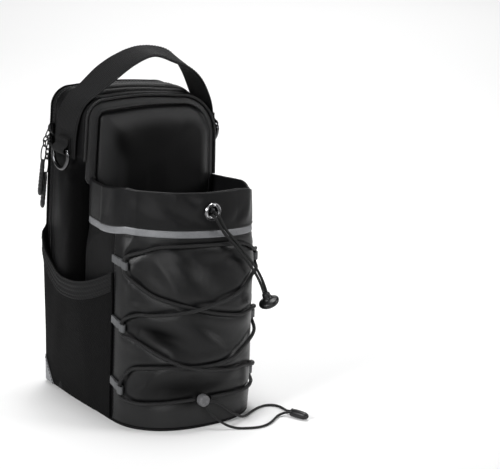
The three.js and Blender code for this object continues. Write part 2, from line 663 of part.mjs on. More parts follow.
const toggle = {
  axis: vec(0.4, -0.08, -0.9),
  profile: [[0, 0], [3.8, 0], [4.2, 4], [5.4, 6.4], [9.6, 8.4], [10.4, 10.4], [9.4, 12.8], [5.6, 15], [0, 15.8]],
};
const tailEnd = {
  axis: vec(0.36, -0.93, 0),
  profile: [[0, 0], [3.6, 0], [4, 2.4], [4, 11], [3.5, 16.5], [2, 19.4], [0, 20.2]],
};
const toggleSolid = endPiece(drawcordUpper, drawcordLower, toggle.axis, toggle.profile, 14);
addPiece('drawcord_toggle', toggleSolid, 'blackPlastic');
addPiece('tail_end', endPiece(tailUpper, tailLower, tailEnd.axis, tailEnd.profile, 10), 'blackPlastic');

// Mesh side pockets with their hems and the reflective patches at the back corners

function meshRim(t) {
  const { dip, dipAt, frontRise, backRise } = meshPocket;
  if (t < dipAt) return dip + frontRise * ((dipAt - t) / dipAt) ** 2;
  return dip + backRise * ((t - dipAt) / (1 - dipAt)) ** 2;
}

// Point on the netting: t runs back from the seam, z is its height and out a distance out of it
function meshAt(side, t, z, out) {
  const rise = (z - wallFoot) / (meshRim(t) - wallFoot);
  const backing = lerp(pocketSection(z).half, sideX(z), t);
  const { bulge, bellyFoot, bellyCurve, flareFrom, seamStep } = meshPocket;
  const belly = bulge * Math.sin(Math.PI * t) ** bellyCurve * lerp(bellyFoot, 1, rise);
  const flare = meshPocket.flare * smoothstep(t, flareFrom, 1) * rise ** 2;
  const x = backing + meshPocket.sewn + belly + flare + out;
  return vec(side * x, lerp(pocket.seamY + seamStep, meshPocket.backY, t), z);
}

function meshSheet(side, stations, lowOf, highOf, rows, outerOut, innerOut) {
  const rowAt = (v, out) => stations.map((t) => meshAt(side, t, lerp(lowOf(t), highOf(t), v), out));
  const face = (out) => spread(0, 1, rows).map((v) => rowAt(v, out));
  return sheet(face(outerOut), face(innerOut));
}

for (const [label, side] of [['left', -1], ['right', 1]]) {
  const stations = [0, 0.04, 0.13, 0.26, 0.4, 0.54, 0.68, 0.82, 0.92, 1];
  const foot = () => wallFoot;
  addPiece(`mesh_pocket_${label}`, meshSheet(side, stations, foot, meshRim, 4, 0, -meshPocket.wall), 'netting');
  const hemLow = (t) => meshRim(t) - meshPocket.hem;
  const hemHigh = (t) => meshRim(t) + meshPocket.hemProud;
  const hem = meshSheet(side, stations, hemLow, hemHigh, 1, gap + meshPocket.hemWall, gap);
  addPiece(`mesh_hem_${label}`, hem, 'webbing');
  const patchTop = (t) => wallFoot + patch.tip + (patch.high * (t - patch.from)) / (1 - patch.from);
  const corner = spread(patch.from, 1, 4);
  const cover = meshSheet(side, corner, foot, patchTop, 1, gap + patch.thick, gap);
  addPiece(`corner_patch_${label}`, cover, 'reflective');
}

// Carry handle sewn to the two sides

function makeHandle() {
  const curve = new THREE.CatmullRomCurve3(handleRun.map(({ x, y, z }) => vec(x, y, z)), false, 'centripetal');
  const stations = curve.getSpacedPoints(handle.steps);
  const face = (out) => [-0.5, 0, 0.5].map((edge) => stations.map((p, i) => {
    const tangent = curve.getTangentAt(i / handle.steps);
    const normal = vec(-tangent.z, 0, tangent.x).normalize();
    return p.clone().addScaledVector(normal, out).add(vec(0, edge * handle.width, 0));
  }));
  return sheet(face(handle.thick / 2), face(-handle.thick / 2));
}
addPiece('carry_handle', makeHandle(), 'webbing');

// D-rings hanging in webbing tabs on the ends of the handle

function makeTab({ side, y, z }) {
  const shape = new THREE.Shape();
  const wrap = tab.hole + tab.wrap;
  const top = z + tab.high;
  shape.moveTo(side * tab.inner, top);
  shape.lineTo(side * tab.inner, z + tab.heel);
  for (const turn of spread(145, 450, 8)) {
    const angle = degToRad(turn);
    shape.lineTo(side * (ring.x + wrap * Math.cos(angle)), z + wrap * Math.sin(angle));
  }
  shape.lineTo(side * (tab.inner + tab.strap), z + tab.lap);
  shape.lineTo(side * (tab.inner + tab.strap), top);
  shape.closePath();
  const eye = new THREE.Path();
  eye.absarc(side * ring.x, z, tab.hole, 0, 2 * Math.PI);
  shape.holes.push(eye);
  const geometry = new THREE.ExtrudeGeometry(shape, { depth: tab.width, bevelEnabled: false, curveSegments: 8 });
  geometry.rotateX(Math.PI / 2);
  geometry.translate(0, y + tab.width / 2, 0);
  return solid(geometry);
}

function makeRing({ side, y, z }) {
  const { half, bar, shoulder, drop } = ring;
  const bend = { y: half - 0.6, z: -0.4 * shoulder };
  const path = spread(-bar, bar, 4).map((along) => vec(0, along, 0));
  path.push(vec(0, bend.y, bend.z));
  for (const turn of spread(0, Math.PI, 8)) {
    path.push(vec(0, half * Math.cos(turn), -shoulder - (drop - shoulder) * Math.sin(turn)));
  }
  path.push(vec(0, -bend.y, bend.z));
  const curve = new THREE.CatmullRomCurve3(path, true, 'centripetal');
  const geometry = new THREE.TubeGeometry(curve, 24, ring.wire, 6, true);
  geometry.translate(side * ring.x, y, z);
  return solid(geometry);
}

for (const place of ringPlaces) {
  addPiece(`ring_tab_${place.label}`, makeTab(place), 'webbing');
  addPiece(`d_ring_${place.label}`, makeRing(place), 'gunmetal');
}

// Zip sliders on the left side, each with a bail, a wire link and a moulded tab

const slider = {
  y: (body.gussetBackY + body.backY) / 2, out: 0.1, thick: 2.4, wide: 7.6, long: 10,
  under: 1.7, bridge: 0.9, bailWide: 2.2, bailLong: 7, post: 1.4, sunk: 0.2,
};
const sliderPlaces = [{ z: 250, lean: 1 }, { z: 263, lean: 4.4 }];
const pull = {
  wire: 0.6, swing: 14, outwards: 0.05, backwards: 0.06, tabHalf: 1.3,
  link: [
    { down: 0.4, half: 2.2 }, { down: 3, half: 3 }, { down: 14, half: 3 }, { down: 28, half: 2.6 },
    { down: 33, half: 1.6 },
  ],
  tab: [
    { down: 31, wide: 2 }, { down: 33, wide: 3 }, { down: 60, wide: 3.4 }, { down: 66, wide: 3 },
    { down: 68, wide: 1.6 },
  ],
};

const block = (x, y, z, sx, sy, sz) => solid(new THREE.BoxGeometry(sx, sy, sz).translate(x, y, z));

function makeSlider(z) {
  const { y, thick, under, bridge, bailWide, bailLong, sunk } = slider;
  const inner = -(sideX(z) + slider.out);
  const [w, l] = [slider.wide / 2, slider.long / 2];
  const corners = [[-w, -l], [w, -l], [w, l * 0.3], [w * 0.5, l], [-w * 0.5, l], [-w, l * 0.3]];
  const outline = new THREE.Shape(corners.map(([u, v]) => new THREE.Vector2(u, v)));
  const plate = new THREE.ExtrudeGeometry(outline, { depth: thick, bevelEnabled: false });
  plate.rotateX(Math.PI / 2);
  plate.rotateZ(-Math.PI / 2);
  plate.translate(inner, y, z);
  const face = inner - thick;
  const postLong = under + 2 * sunk;
  const posts = [-1, 1].map((end) => {
    const rise = (end * (bailLong - slider.post)) / 2;
    return block(face + sunk - postLong / 2, y, z + rise, postLong, bailWide, slider.post);
  });
  const bail = block(face - under - bridge / 2, y, z, bridge, bailWide, bailLong);
  return [...posts, bail].reduce(joined, solid(plate));
}

// Hanging pull: the link passes under the bail and swings out and down to the tab
function makePull(z, lean) {
  const start = -(sideX(z) + slider.out + slider.thick + slider.under / 2);
  const outBy = (down) => lean * smoothstep(down, 0, pull.swing) + down * pull.outwards;
  const at = (down, half) => vec(start - outBy(down), slider.y + half + down * pull.backwards, z - down);
  const left = pull.link.map(({ down, half }) => at(down, -half));
  const right = pull.link.toReversed().map(({ down, half }) => at(down, half));
  const curve = new THREE.CatmullRomCurve3([at(0, 0), ...left, ...right], true);
  const link = solid(new THREE.TubeGeometry(curve, 18, pull.wire, 5, true));
  const corners = [[-1, -1], [1, -1], [1, 1], [-1, 1]];
  const rings = pull.tab.map(({ down, wide }) => corners.map(([u, v]) => {
    return at(down, u * wide).add(vec(v * pull.tabHalf, 0, 0));
  }));
  return joined(link, loft(rings));
}

sliderPlaces.forEach(({ z, lean }, i) => {
  addPiece(`zip_slider_${i + 1}`, makeSlider(z), 'gunmetal');
  addPiece(`zip_pull_${i + 1}`, makePull(z, lean), 'blackPlastic');
});

export default group;
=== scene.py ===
import math
from collections import namedtuple
import bmesh
import bpy
import numpy as np
from mathutils import Matrix, kdtree


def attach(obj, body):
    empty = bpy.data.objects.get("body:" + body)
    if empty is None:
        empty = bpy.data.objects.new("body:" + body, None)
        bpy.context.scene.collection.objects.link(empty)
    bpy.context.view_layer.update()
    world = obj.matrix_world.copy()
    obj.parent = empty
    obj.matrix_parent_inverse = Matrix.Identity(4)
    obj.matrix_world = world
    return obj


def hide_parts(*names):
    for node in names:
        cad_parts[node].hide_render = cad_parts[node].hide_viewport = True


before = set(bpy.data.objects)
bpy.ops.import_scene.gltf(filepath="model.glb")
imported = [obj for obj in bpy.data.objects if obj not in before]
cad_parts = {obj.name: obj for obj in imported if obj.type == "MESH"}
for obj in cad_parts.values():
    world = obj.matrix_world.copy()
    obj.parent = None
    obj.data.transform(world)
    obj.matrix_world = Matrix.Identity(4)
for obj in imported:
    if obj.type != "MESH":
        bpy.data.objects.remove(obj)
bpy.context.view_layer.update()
mm = 0.001  # shapes are worked out in millimetres and put down in metres


# camera at the photo's angle

cameraSet = {"place": (-1.0098, -1.5782, 0.7124), "heading": 35.26, "down": 16.11, "roll": 2.67,
             "lens": 144.36, "sensor": 36}


# puts a camera or a lamp in its place, looking forward
def stand(name, data, place, right, up, forward):
    holder = bpy.data.objects.new(name, data)
    turn = Matrix((right, up, -forward)).transposed().to_4x4()
    holder.matrix_world = Matrix.Translation(place) @ turn
    bpy.context.collection.objects.link(holder)
    return holder


def makeCamera(s):
    heading, down, roll = (math.radians(s[k]) for k in ("heading", "down", "roll"))
    ahead = np.array([math.sin(heading), math.cos(heading), 0])
    forward = ahead * math.cos(down) - np.array([0, 0, math.sin(down)])
    level = np.array([math.cos(heading), -math.sin(heading), 0])
    upright = np.cross(level, forward)
    right = level * math.cos(roll) + upright * math.sin(roll)
    up = upright * math.cos(roll) - level * math.sin(roll)
    lens = bpy.data.cameras.new("camera")
    lens.lens = s["lens"]
    lens.sensor_width = s["sensor"]
    bpy.context.scene.camera = stand("camera", lens, s["place"], right, up, forward)
    bpy.context.scene.view_settings.view_transform = "Standard"


makeCamera(cameraSet)
print("camera set")


# mesh helpers, all in millimetres

def addPiece(name, points, faces, material, replaces=(), uv=None, cornerUv=None, body="bag",
             sharp=48, shade=None):
    mesh = bpy.data.meshes.new(name)
    mesh.from_pydata((np.asarray(points, dtype=float) * mm).tolist(), [], faces)
    if uv is not None:
        corner = np.empty(len(mesh.loops), dtype=np.int32)
        mesh.loops.foreach_get("vertex_index", corner)
        cornerUv = np.asarray(uv)[corner]
    if cornerUv is not None:
        layer = mesh.uv_layers.new(name="cloth")
        layer.data.foreach_set("uv", (np.asarray(cornerUv) * mm).astype(np.float32).ravel())
    # painted shade for each point, which the shaded cloths darken by
    if shade is not None:
        deep = mesh.attributes.new("shade", "FLOAT", "POINT")
        deep.data.foreach_set("value", np.asarray(shade, dtype=np.float32).ravel())
    bm = bmesh.new()
    bm.from_mesh(mesh)
    bmesh.ops.recalc_face_normals(bm, faces=bm.faces)
    bm.to_mesh(mesh)
    bm.free()
    mesh.polygons.foreach_set("use_smooth", [True] * len(mesh.polygons))
    mesh.set_sharp_from_angle(angle=math.radians(sharp))
    piece = bpy.data.objects.new(name, mesh)
    bpy.context.collection.objects.link(piece)
    piece.data.materials.append(material)
    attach(piece, body)
    if replaces:
        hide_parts(*replaces)
    return piece


def gridFaces(rows, cols, start=0, closed=False):
    r, c = np.meshgrid(np.arange(rows - 1), np.arange(cols if closed else cols - 1), indexing="ij")
    a = start + r * cols + c
    b = start + r * cols + (c + 1) % cols
    return np.stack([a, b, b + cols, a + cols], axis=-1).reshape(-1, 4).tolist()


# rings of points joined one to the next and closed at both ends
def cappedFaces(rows, cols, start=0):
    last = start + (rows - 1) * cols
    ends = [[start + c for c in range(cols - 1, -1, -1)], [last + c for c in range(cols)]]
    return gridFaces(rows, cols, start, closed=True) + ends


def addLoft(name, rings, material, replaces, uv=None):
    grid = np.array(rings)
    faces = cappedFaces(*grid.shape[:2])
    return addPiece(name, grid.reshape(-1, 3), faces, material, replaces, uv=uv)


def clothLengths(points):
    across = np.linalg.norm(np.diff(points, axis=1), axis=2)
    along = np.linalg.norm(np.diff(points, axis=0), axis=2)
    u = np.concatenate([np.zeros((len(points), 1)), np.cumsum(across, axis=1)], axis=1)
    v = np.concatenate([np.zeros((1, points.shape[1])), np.cumsum(along, axis=0)], axis=0)
    return np.stack([u, v], axis=-1).reshape(-1, 2)


# cloth wall between an outer and an inner grid of points
def addSheet(name, outer, inner, material, slotName, replaces=(), skip=None, shade=None):
    rows, cols = outer.shape[:2]
    count = rows * cols
    faces = gridFaces(rows, cols) + gridFaces(rows, cols, count)
    edge = list(range(cols))
    edge += [r * cols + cols - 1 for r in range(1, rows)]
    edge += [(rows - 1) * cols + c for c in range(cols - 2, -1, -1)]
    edge += [r * cols for r in range(rows - 2, 0, -1)]
    faces += [[a, b, b + count, a + count] for a, b in zip(edge, edge[1:] + edge[:1])]
    points = np.concatenate([outer.reshape(-1, 3), inner.reshape(-1, 3)])
    if skip is not None:
        faces = [f for f in faces if not skip(points[f].mean(axis=0))]
    uv = np.concatenate([clothLengths(outer)] * 2)
    deep = None if shade is None else np.concatenate([shade.ravel()] * 2)
    return addPiece(name, points, faces, material, replaces, uv=uv, shade=deep)


def lengthAlong(line):
    return np.concatenate([[0], np.cumsum(np.linalg.norm(np.diff(line, axis=0), axis=1))])


def pointAt(line, gone, at):
    return np.stack([np.interp(at, gone, line[:, k]) for k in range(3)], axis=-1)


# smooth line through given points
def smoothLine(points, each=10, closed=False):
    p = np.asarray(points, dtype=float)
    if closed:
        p = np.concatenate([p[-1:], p, p[:2]])
    else:
        p = np.concatenate([[2 * p[0] - p[1]], p, [2 * p[-1] - p[-2]]])
    line = []
    for p0, p1, p2, p3 in zip(p, p[1:], p[2:], p[3:]):
        d0, d1, d2 = (max(np.linalg.norm(b - a), 1e-6) ** 0.5 for a, b in ((p0, p1), (p1, p2), (p2, p3)))
        t1 = d1 * ((p1 - p0) / d0 - (p2 - p0) / (d0 + d1) + (p2 - p1) / d1)
        t2 = d1 * ((p2 - p1) / d1 - (p3 - p1) / (d1 + d2) + (p3 - p2) / d2)
        bend = 3 * (p2 - p1) - 2 * t1 - t2
        twist = 2 * (p1 - p2) + t1 + t2
        for t in np.arange(each) / each:
            line.append(p1 + t1 * t + bend * t**2 + twist * t**3)
    if not closed:
        line.append(p[-2])
    return np.array(line)


def evenly(line, step):
    gone = lengthAlong(line)
    count = max(int(round(gone[-1] / step)), 2)
    return pointAt(line, gone, np.linspace(0, gone[-1], count + 1))


def unit(v):
    return v / np.maximum(np.linalg.norm(v, axis=-1, keepdims=True), 1e-9)


# frames carried along a line without twist
def carriedFrames(line, closed=False):
    if closed:
        tangent = unit(np.roll(line, -1, axis=0) - np.roll(line, 1, axis=0))
    else:
        tangent = unit(np.gradient(line, axis=0))
    start = np.array([0, 0, 1.0]) if abs(tangent[0][2]) < 0.9 else np.array([0, 1.0, 0])
    side = unit(np.cross(tangent[0], start))
    sides = []
    for t in tangent:
        side = unit(side - t * np.dot(side, t))
        sides.append(side)
    sides = np.array(sides)
    return sides, np.cross(tangent, sides)


def addTube(name, line, radius, around, material, replaces=(), closed=False, body="bag"):
    sides, ups = carriedFrames(line, closed)
    count = len(line)
    turn = np.linspace(0, 2 * np.pi, around, endpoint=False)[:, None]
    ring = sides[:, None, :] * np.cos(turn) + ups[:, None, :] * np.sin(turn)
    points = (line[:, None, :] + ring * radius).reshape(-1, 3)
    gone = lengthAlong(line)
    faces = []
    cornerUv = []
    girth = 1000 / around  # one turn is one whole unit across
    for r in range(count if closed else count - 1):
        n = (r + 1) % count
        high = gone[n] if n else gone[-1] + np.linalg.norm(line[0] - line[-1])
        for c in range(around):
            d = (c + 1) % around
            left, right = c * girth, (c + 1) * girth
            faces.append([r * around + c, r * around + d, n * around + d, n * around + c])
            cornerUv += [(left, gone[r]), (right, gone[r]), (right, high), (left, high)]
    if not closed:
        faces += [list(range(around))[::-1], list(range((count - 1) * around, count * around))]
        cornerUv += [(0, 0)] * (2 * around)
    return addPiece(name, points, faces, material, replaces, cornerUv=cornerUv, body=body)


def softened(profile, times=2):
    p = np.asarray(profile, dtype=float)
    for _ in range(times):
        q = np.empty((2 * (len(p) - 1), 2))
        q[0::2] = 0.75 * p[:-1] + 0.25 * p[1:]
        q[1::2] = 0.25 * p[:-1] + 0.75 * p[1:]
        p = np.concatenate([p[:1], q, p[-1:]])
    return p


# turned piece: radius and height along an axis from a place
def addTurned(name, profile, around, place, axis, material, replaces=(), ring=False):
    axis = unit(np.asarray(axis, dtype=float))
    side = unit(np.cross(axis, [0.3, 0.2, 0.9]))
    other = np.cross(axis, side)
    turn = np.linspace(0, 2 * np.pi, around, endpoint=False)[:, None]
    radius, height = np.array(profile, dtype=float).T[:, :, None, None]
    points = np.asarray(place) + (side * np.cos(turn) + other * np.sin(turn)) * radius + axis * height
    rows = len(points)
    if ring:
        last = (rows - 1) * around
        faces = gridFaces(rows, around, closed=True)
        faces += [[last + c, last + (c + 1) % around, (c + 1) % around, c] for c in range(around)]
    else:
        faces = cappedFaces(rows, around)
    return addPiece(name, points.reshape(-1, 3), faces, material, replaces, sharp=40)


# thread stitches: place along a stitch and swell in the profile
stitchSet = {"pitch": 3.4, "long": 2.3, "thick": 0.34, "flat": 1.15, "lift": 0.2, "sides": 5,
             "profile": [(-0.5, 0.35), (-0.3, 1), (0.3, 1), (0.5, 0.35)]}


# one mesh of stitches along rows of points, each row with its normals or one normal for all
def addStitches(name, rows):
    s = stitchSet
    points = []
    faces = []
    for line, normals in rows:
        gone = lengthAlong(line)
        normals = np.broadcast_to(np.asarray(normals, dtype=float), line.shape)
        for at in np.arange(s["pitch"] / 2, gone[-1], s["pitch"]):
            place = pointAt(line, gone, at)
            along = unit(pointAt(line, gone, at + 0.5) - pointAt(line, gone, at - 0.5))
            up = unit(pointAt(normals, gone, at))
            aside = np.cross(along, up)
            faces += cappedFaces(len(s["profile"]), s["sides"], len(points))
            for step, swell in s["profile"]:
                for turn in np.arange(s["sides"]) * 2 * np.pi / s["sides"]:
                    ring = aside * math.cos(turn) * s["flat"] + up * math.sin(turn)
                    off = (ring * swell + up * s["lift"]) * s["thick"]
                    points.append(place + along * step * s["long"] + off)
    return addPiece(name, points, faces, thread)


def smoothstep(x, low, high):
    t = np.clip((x - low) / (high - low), 0, 1)
    return t * t * (3 - 2 * t)


def lerp(a, b, t):
    return a + (b - a) * t


# table looked up with its corners eased
def eased(at, known, values, step):
    return sum(np.interp(at + step * d, known, values) for d in (-2, -1, 0, 1, 2)) / 5


# soft fold: place across, height, length, width, lean from upright and rise,
# then how far one flank is drawn out and the power of its bell
fold = namedtuple("fold", "across z long wide lean rise skew round", defaults=(1, 2))


def foldHeight(folds, across, z):
    rise = np.zeros(np.broadcast(across, z).shape)
    for f in folds:
        lean = math.radians(f.lean)
        dx, dz = across - f.across, z - f.z
        along = (dx * math.sin(lean) + dz * math.cos(lean)) / f.long
        aside = (dx * math.cos(lean) - dz * math.sin(lean)) / f.wide
        aside = np.where(aside < 0, aside / f.skew, aside)
        rise = rise + f.rise * np.exp(-along**2 - np.abs(aside) ** f.round)
    return rise


# materials

def newMaterial(name, color, roughness, metallic=0.0, specular=0.5):
    material = bpy.data.materials.new(name)
    material.use_nodes = True
    shader = material.node_tree.nodes["Principled BSDF"]
    shader.inputs["Base Color"].default_value = (*color, 1)
    shader.inputs["Roughness"].default_value = roughness
    shader.inputs["Metallic"].default_value = metallic
    shader.inputs["Specular IOR Level"].default_value = specular
    return material, material.node_tree, shader


def addNode(tree, kind, links=(), **values):
    node = tree.nodes.new(kind)
    for key, value in values.items():
        setattr(node, key, value)
    for socket, source in links:
        if hasattr(source, "is_output"):
            tree.links.new(source, node.inputs[socket])
        else:
            node.inputs[socket].default_value = source
    return node


def maths(tree, operation, a, b=0.0, c=0.0):
    return addNode(tree, "ShaderNodeMath", [(0, a), (1, b), (2, c)], operation=operation).outputs[0]


def scaled(tree, value, by, plus=0.0):
    return maths(tree, "MULTIPLY_ADD", value, by, plus)


def clothAxes(tree):
    place = addNode(tree, "ShaderNodeTexCoord").outputs["UV"]
    split = addNode(tree, "ShaderNodeSeparateXYZ", [(0, place)])
    return place, split.outputs[0], split.outputs[1]


def ripple(tree, axis, pitch):
    return maths(tree, "SINE", scaled(tree, axis, 2 * math.pi / pitch))


def noise(tree, place, scale, detail=3.0, rough=0.55):
    links = [("Vector", place), ("Scale", scale), ("Detail", detail), ("Roughness", rough)]
    return addNode(tree, "ShaderNodeTexNoise", links).outputs["Fac"]


def mapped(tree, value, low, high, fromLow=0.0, fromHigh=1.0):
    links = [(0, value), (1, fromLow), (2, fromHigh), (3, low), (4, high)]
    return addNode(tree, "ShaderNodeMapRange", links).outputs[0]


def tinted(tree, value, dark, light):
    ramp = addNode(tree, "ShaderNodeValToRGB", [(0, value)])
    ramp.color_ramp.elements[0].color = (*dark, 1)
    ramp.color_ramp.elements[1].color = (*light, 1)
    return ramp.outputs[0]


def bumped(tree, shader, height, strength, distance):
    links = [("Height", height), ("Strength", strength), ("Distance", distance)]
    tree.links.new(addNode(tree, "ShaderNodeBump", links).outputs[0], shader.inputs["Normal"])


def coloured(tree, shader, value, dark, light):
    tree.links.new(tinted(tree, value, dark, light), shader.inputs["Base Color"])


def roughened(tree, shader, value, smooth, rough):
    tree.links.new(mapped(tree, value, smooth, rough), shader.inputs["Roughness"])


# plain weave under a coating, with soft creases and a little wear
def wovenCloth(name, s, shaded=False):
    material, tree, shader = newMaterial(name, s["dark"], s["rough"], specular=s["specular"])
    place, u, v = clothAxes(tree)
    checks = maths(tree, "MULTIPLY", ripple(tree, u, s["thread"]), ripple(tree, v, s["thread"]))
    creases = noise(tree, place, s["creases"], 4.0)
    grain = noise(tree, place, 900.0, 2.0)
    wear = noise(tree, place, 26.0, 5.0, 0.62)
    height = scaled(tree, creases, s["rise"], scaled(tree, grain, 0.04))
    bumped(tree, shader, scaled(tree, checks, s["weave"], height), 0.6, 0.0006)
    colour = tinted(tree, wear, s["dark"], s["light"])
    if shaded:
        # painted shade: colour and gloss are darkened where the mesh's shade attribute marks folds, recesses
        # and the panel's face
        deep = addNode(tree, "ShaderNodeAttribute", attribute_name="shade").outputs["Fac"]
        clear = maths(tree, "SUBTRACT", 1.0, deep)
        colour = addNode(tree, "ShaderNodeHueSaturation", [("Color", colour), ("Value", clear)]).outputs[0]
        gloss = addNode(tree, "ShaderNodeCombineColor", [("Red", clear), ("Green", clear), ("Blue", clear)])
        tree.links.new(gloss.outputs[0], shader.inputs["Specular Tint"])
    tree.links.new(colour, shader.inputs["Base Color"])
    roughened(tree, shader, scaled(tree, checks, 0.15, wear), s["rough"] - 0.05, s["rough"] + 0.09)
    return material


def ribbedWebbing(name, dark, light, rib):
    material, tree, shader = newMaterial(name, dark, 0.72, specular=0.22)
    place, u, v = clothAxes(tree)
    slant = scaled(tree, v, 0.8, u)
    twill = maths(tree, "MULTIPLY", ripple(tree, slant, rib * 0.9), ripple(tree, v, rib * 0.5))
    height = scaled(tree, ripple(tree, v, rib), 0.6, scaled(tree, twill, 0.45))
    bumped(tree, shader, height, 0.7, 0.0005)
    shade = scaled(tree, height, 0.5, scaled(tree, noise(tree, place, 120.0), 0.9))
    coloured(tree, shader, shade, dark, light)
    roughened(tree, shader, shade, 0.6, 0.82)
    return material


def knittedMesh(name, dark, light, cell):
    material, tree, shader = newMaterial(name, dark, 0.85, specular=0.12)
    place, u, v = clothAxes(tree)
    stagger = scaled(tree, ripple(tree, v, cell * 2), 0.25 * cell, u)
    holes = maths(tree, "MULTIPLY", ripple(tree, stagger, cell), ripple(tree, v, cell))
    gaps = mapped(tree, holes, 0.0, 1.0, -0.4, 0.7)
    drawn = addNode(tree, "ShaderNodeMapping", [("Vector", place), ("Scale", (140.0, 6.0, 1.0))]).outputs[0]
    lines = noise(tree, drawn, 1.0)
    bumped(tree, shader, scaled(tree, gaps, -0.9, scaled(tree, lines, 0.5)), 0.8, 0.0006)
    coloured(tree, shader, scaled(tree, gaps, -0.55, maths(tree, "ADD", lines, 0.25)), dark, light)
    roughened(tree, shader, gaps, 0.7, 0.95)
    return material


def beadedTape(name, dark, light):
    material, tree, shader = newMaterial(name, light, 0.5, metallic=0.25)
    place = clothAxes(tree)[0]
    beads = addNode(tree, "ShaderNodeTexVoronoi", [("Vector", place), ("Scale", 1600.0)]).outputs["Distance"]
    scuff = noise(tree, place, 60.0, 5.0)
    bumped(tree, shader, beads, 0.35, 0.0002)
    coloured(tree, shader, scaled(tree, beads, 0.5, scaled(tree, scuff, 0.8)), light, dark)
    roughened(tree, shader, scuff, 0.38, 0.58)
    return material


def braidedCord(name, dark, light, strands, pitch):
    material, tree, shader = newMaterial(name, dark, 0.55, specular=0.35)
    place, u, v = clothAxes(tree)
    around = scaled(tree, u, 2 * math.pi * strands)
    along = scaled(tree, v, 2 * math.pi / pitch)
    left = maths(tree, "SINE", maths(tree, "ADD", around, along))
    right = maths(tree, "SINE", maths(tree, "SUBTRACT", around, along))
    braid = maths(tree, "MAXIMUM", left, right)
    fuzz = noise(tree, place, 700.0)
    bumped(tree, shader, scaled(tree, fuzz, 0.3, braid), 0.7, 0.0003)
    coloured(tree, shader, scaled(tree, braid, 0.35, scaled(tree, fuzz, 0.5)), dark, light)
    roughened(tree, shader, fuzz, 0.45, 0.7)
    return material


# moulded or cast finishes, grained from the object's own place
def hardFinish(name, dark, light, roughness, metallic, grain, rise, specular=0.5):
    material, tree, shader = newMaterial(name, dark, roughness, metallic=metallic, specular=specular)
    place = addNode(tree, "ShaderNodeTexCoord").outputs["Object"]
    fine = noise(tree, place, grain, 4.0)
    bumped(tree, shader, fine, rise, 0.0002)
    coloured(tree, shader, noise(tree, place, 90.0, 5.0), dark, light)
    roughened(tree, shader, fine, roughness - 0.06, roughness + 0.1)
    return material


shellLook = {"dark": (0.0022, 0.0022, 0.0024), "light": (0.0042, 0.0042, 0.0046), "rough": 0.5,
             "specular": 0.1, "thread": 0.0011, "weave": 0.2, "creases": 70.0, "rise": 0.8}
panelLook = {"dark": (0.004, 0.004, 0.0043), "light": (0.0068, 0.0068, 0.0073), "rough": 0.39,
             "specular": 0.31, "thread": 0.0011, "weave": 0.16, "creases": 60.0, "rise": 0.5}
glossLook = {"dark": (0.0028, 0.0028, 0.0031), "light": (0.0048, 0.0048, 0.0052), "rough": 0.34,
             "specular": 0.34, "thread": 0.0009, "weave": 0.06, "creases": 55.0, "rise": 0.8}
collarLook = {"dark": (0.003, 0.003, 0.0033), "light": (0.0055, 0.0055, 0.006), "rough": 0.38,
              "specular": 0.24, "thread": 0.0009, "weave": 0.06, "creases": 60.0, "rise": 0.6}
# sideCloth, bulgeCloth and glossCloth darken by painted shade from the mesh's shade attribute
shellCloth = wovenCloth("shellCloth", shellLook)
sideCloth = wovenCloth("sideCloth", shellLook, shaded=True)
panelCloth = wovenCloth("panelCloth", panelLook)
bulgeCloth = wovenCloth("bulgeCloth", {**panelLook, "specular": 0.36}, shaded=True)
glossCloth = wovenCloth("glossCloth", glossLook, shaded=True)
collarCloth = wovenCloth("collarCloth", collarLook)
meshCloth = knittedMesh("meshCloth", (0.0004, 0.0004, 0.0005), (0.0026, 0.0026, 0.0028), 0.0026)
webbing = ribbedWebbing("webbing", (0.0003, 0.0003, 0.0004), (0.011, 0.011, 0.0117), 0.0024)
hemBinding = ribbedWebbing("hemBinding", (0.0008, 0.0008, 0.0009), (0.006, 0.006, 0.0065), 0.0044)
zipTapeCloth = ribbedWebbing("zipTapeCloth", (0.0015, 0.0015, 0.0017), (0.004, 0.004, 0.0044), 0.0009)
reflectiveTape = beadedTape("reflectiveTape", (0.145, 0.148, 0.156), (0.285, 0.29, 0.3))
loopTape = beadedTape("loopTape", (0.06, 0.062, 0.065), (0.15, 0.153, 0.158))
cordBraid = braidedCord("cordBraid", (0.0015, 0.0015, 0.0017), (0.009, 0.009, 0.0096), 6, 0.0042)
nickel = hardFinish("nickel", (0.36, 0.36, 0.37), (0.5, 0.5, 0.51), 0.2, 1.0, 1800.0, 0.08)
gunmetal = hardFinish("gunmetal", (0.07, 0.07, 0.073), (0.15, 0.15, 0.155), 0.22, 1.0, 1500.0, 0.12)
blackMetal = hardFinish("blackMetal", (0.012, 0.012, 0.0125), (0.03, 0.03, 0.031), 0.28, 1.0, 1500.0, 0.12)
blackPlastic = hardFinish("blackPlastic", (0.003, 0.003, 0.0033), (0.006, 0.006, 0.0064), 0.34, 0.0, 1600.0,
                          0.25, 0.4)
greyPlastic = hardFinish("greyPlastic", (0.075, 0.075, 0.078), (0.12, 0.12, 0.125), 0.42, 0.0, 1600.0, 0.25)
zipCoil = hardFinish("zipCoil", (0.0025, 0.0025, 0.0028), (0.005, 0.005, 0.0054), 0.38, 0.0, 1400.0,
                     0.15, 0.3)
thread = hardFinish("thread", (0.005, 0.005, 0.0054), (0.01, 0.01, 0.0106), 0.7, 0.0, 2600.0, 0.3, 0.25)
print("materials made")


# free cords first: two strands of the drawcord and two of the cord tail, in metres

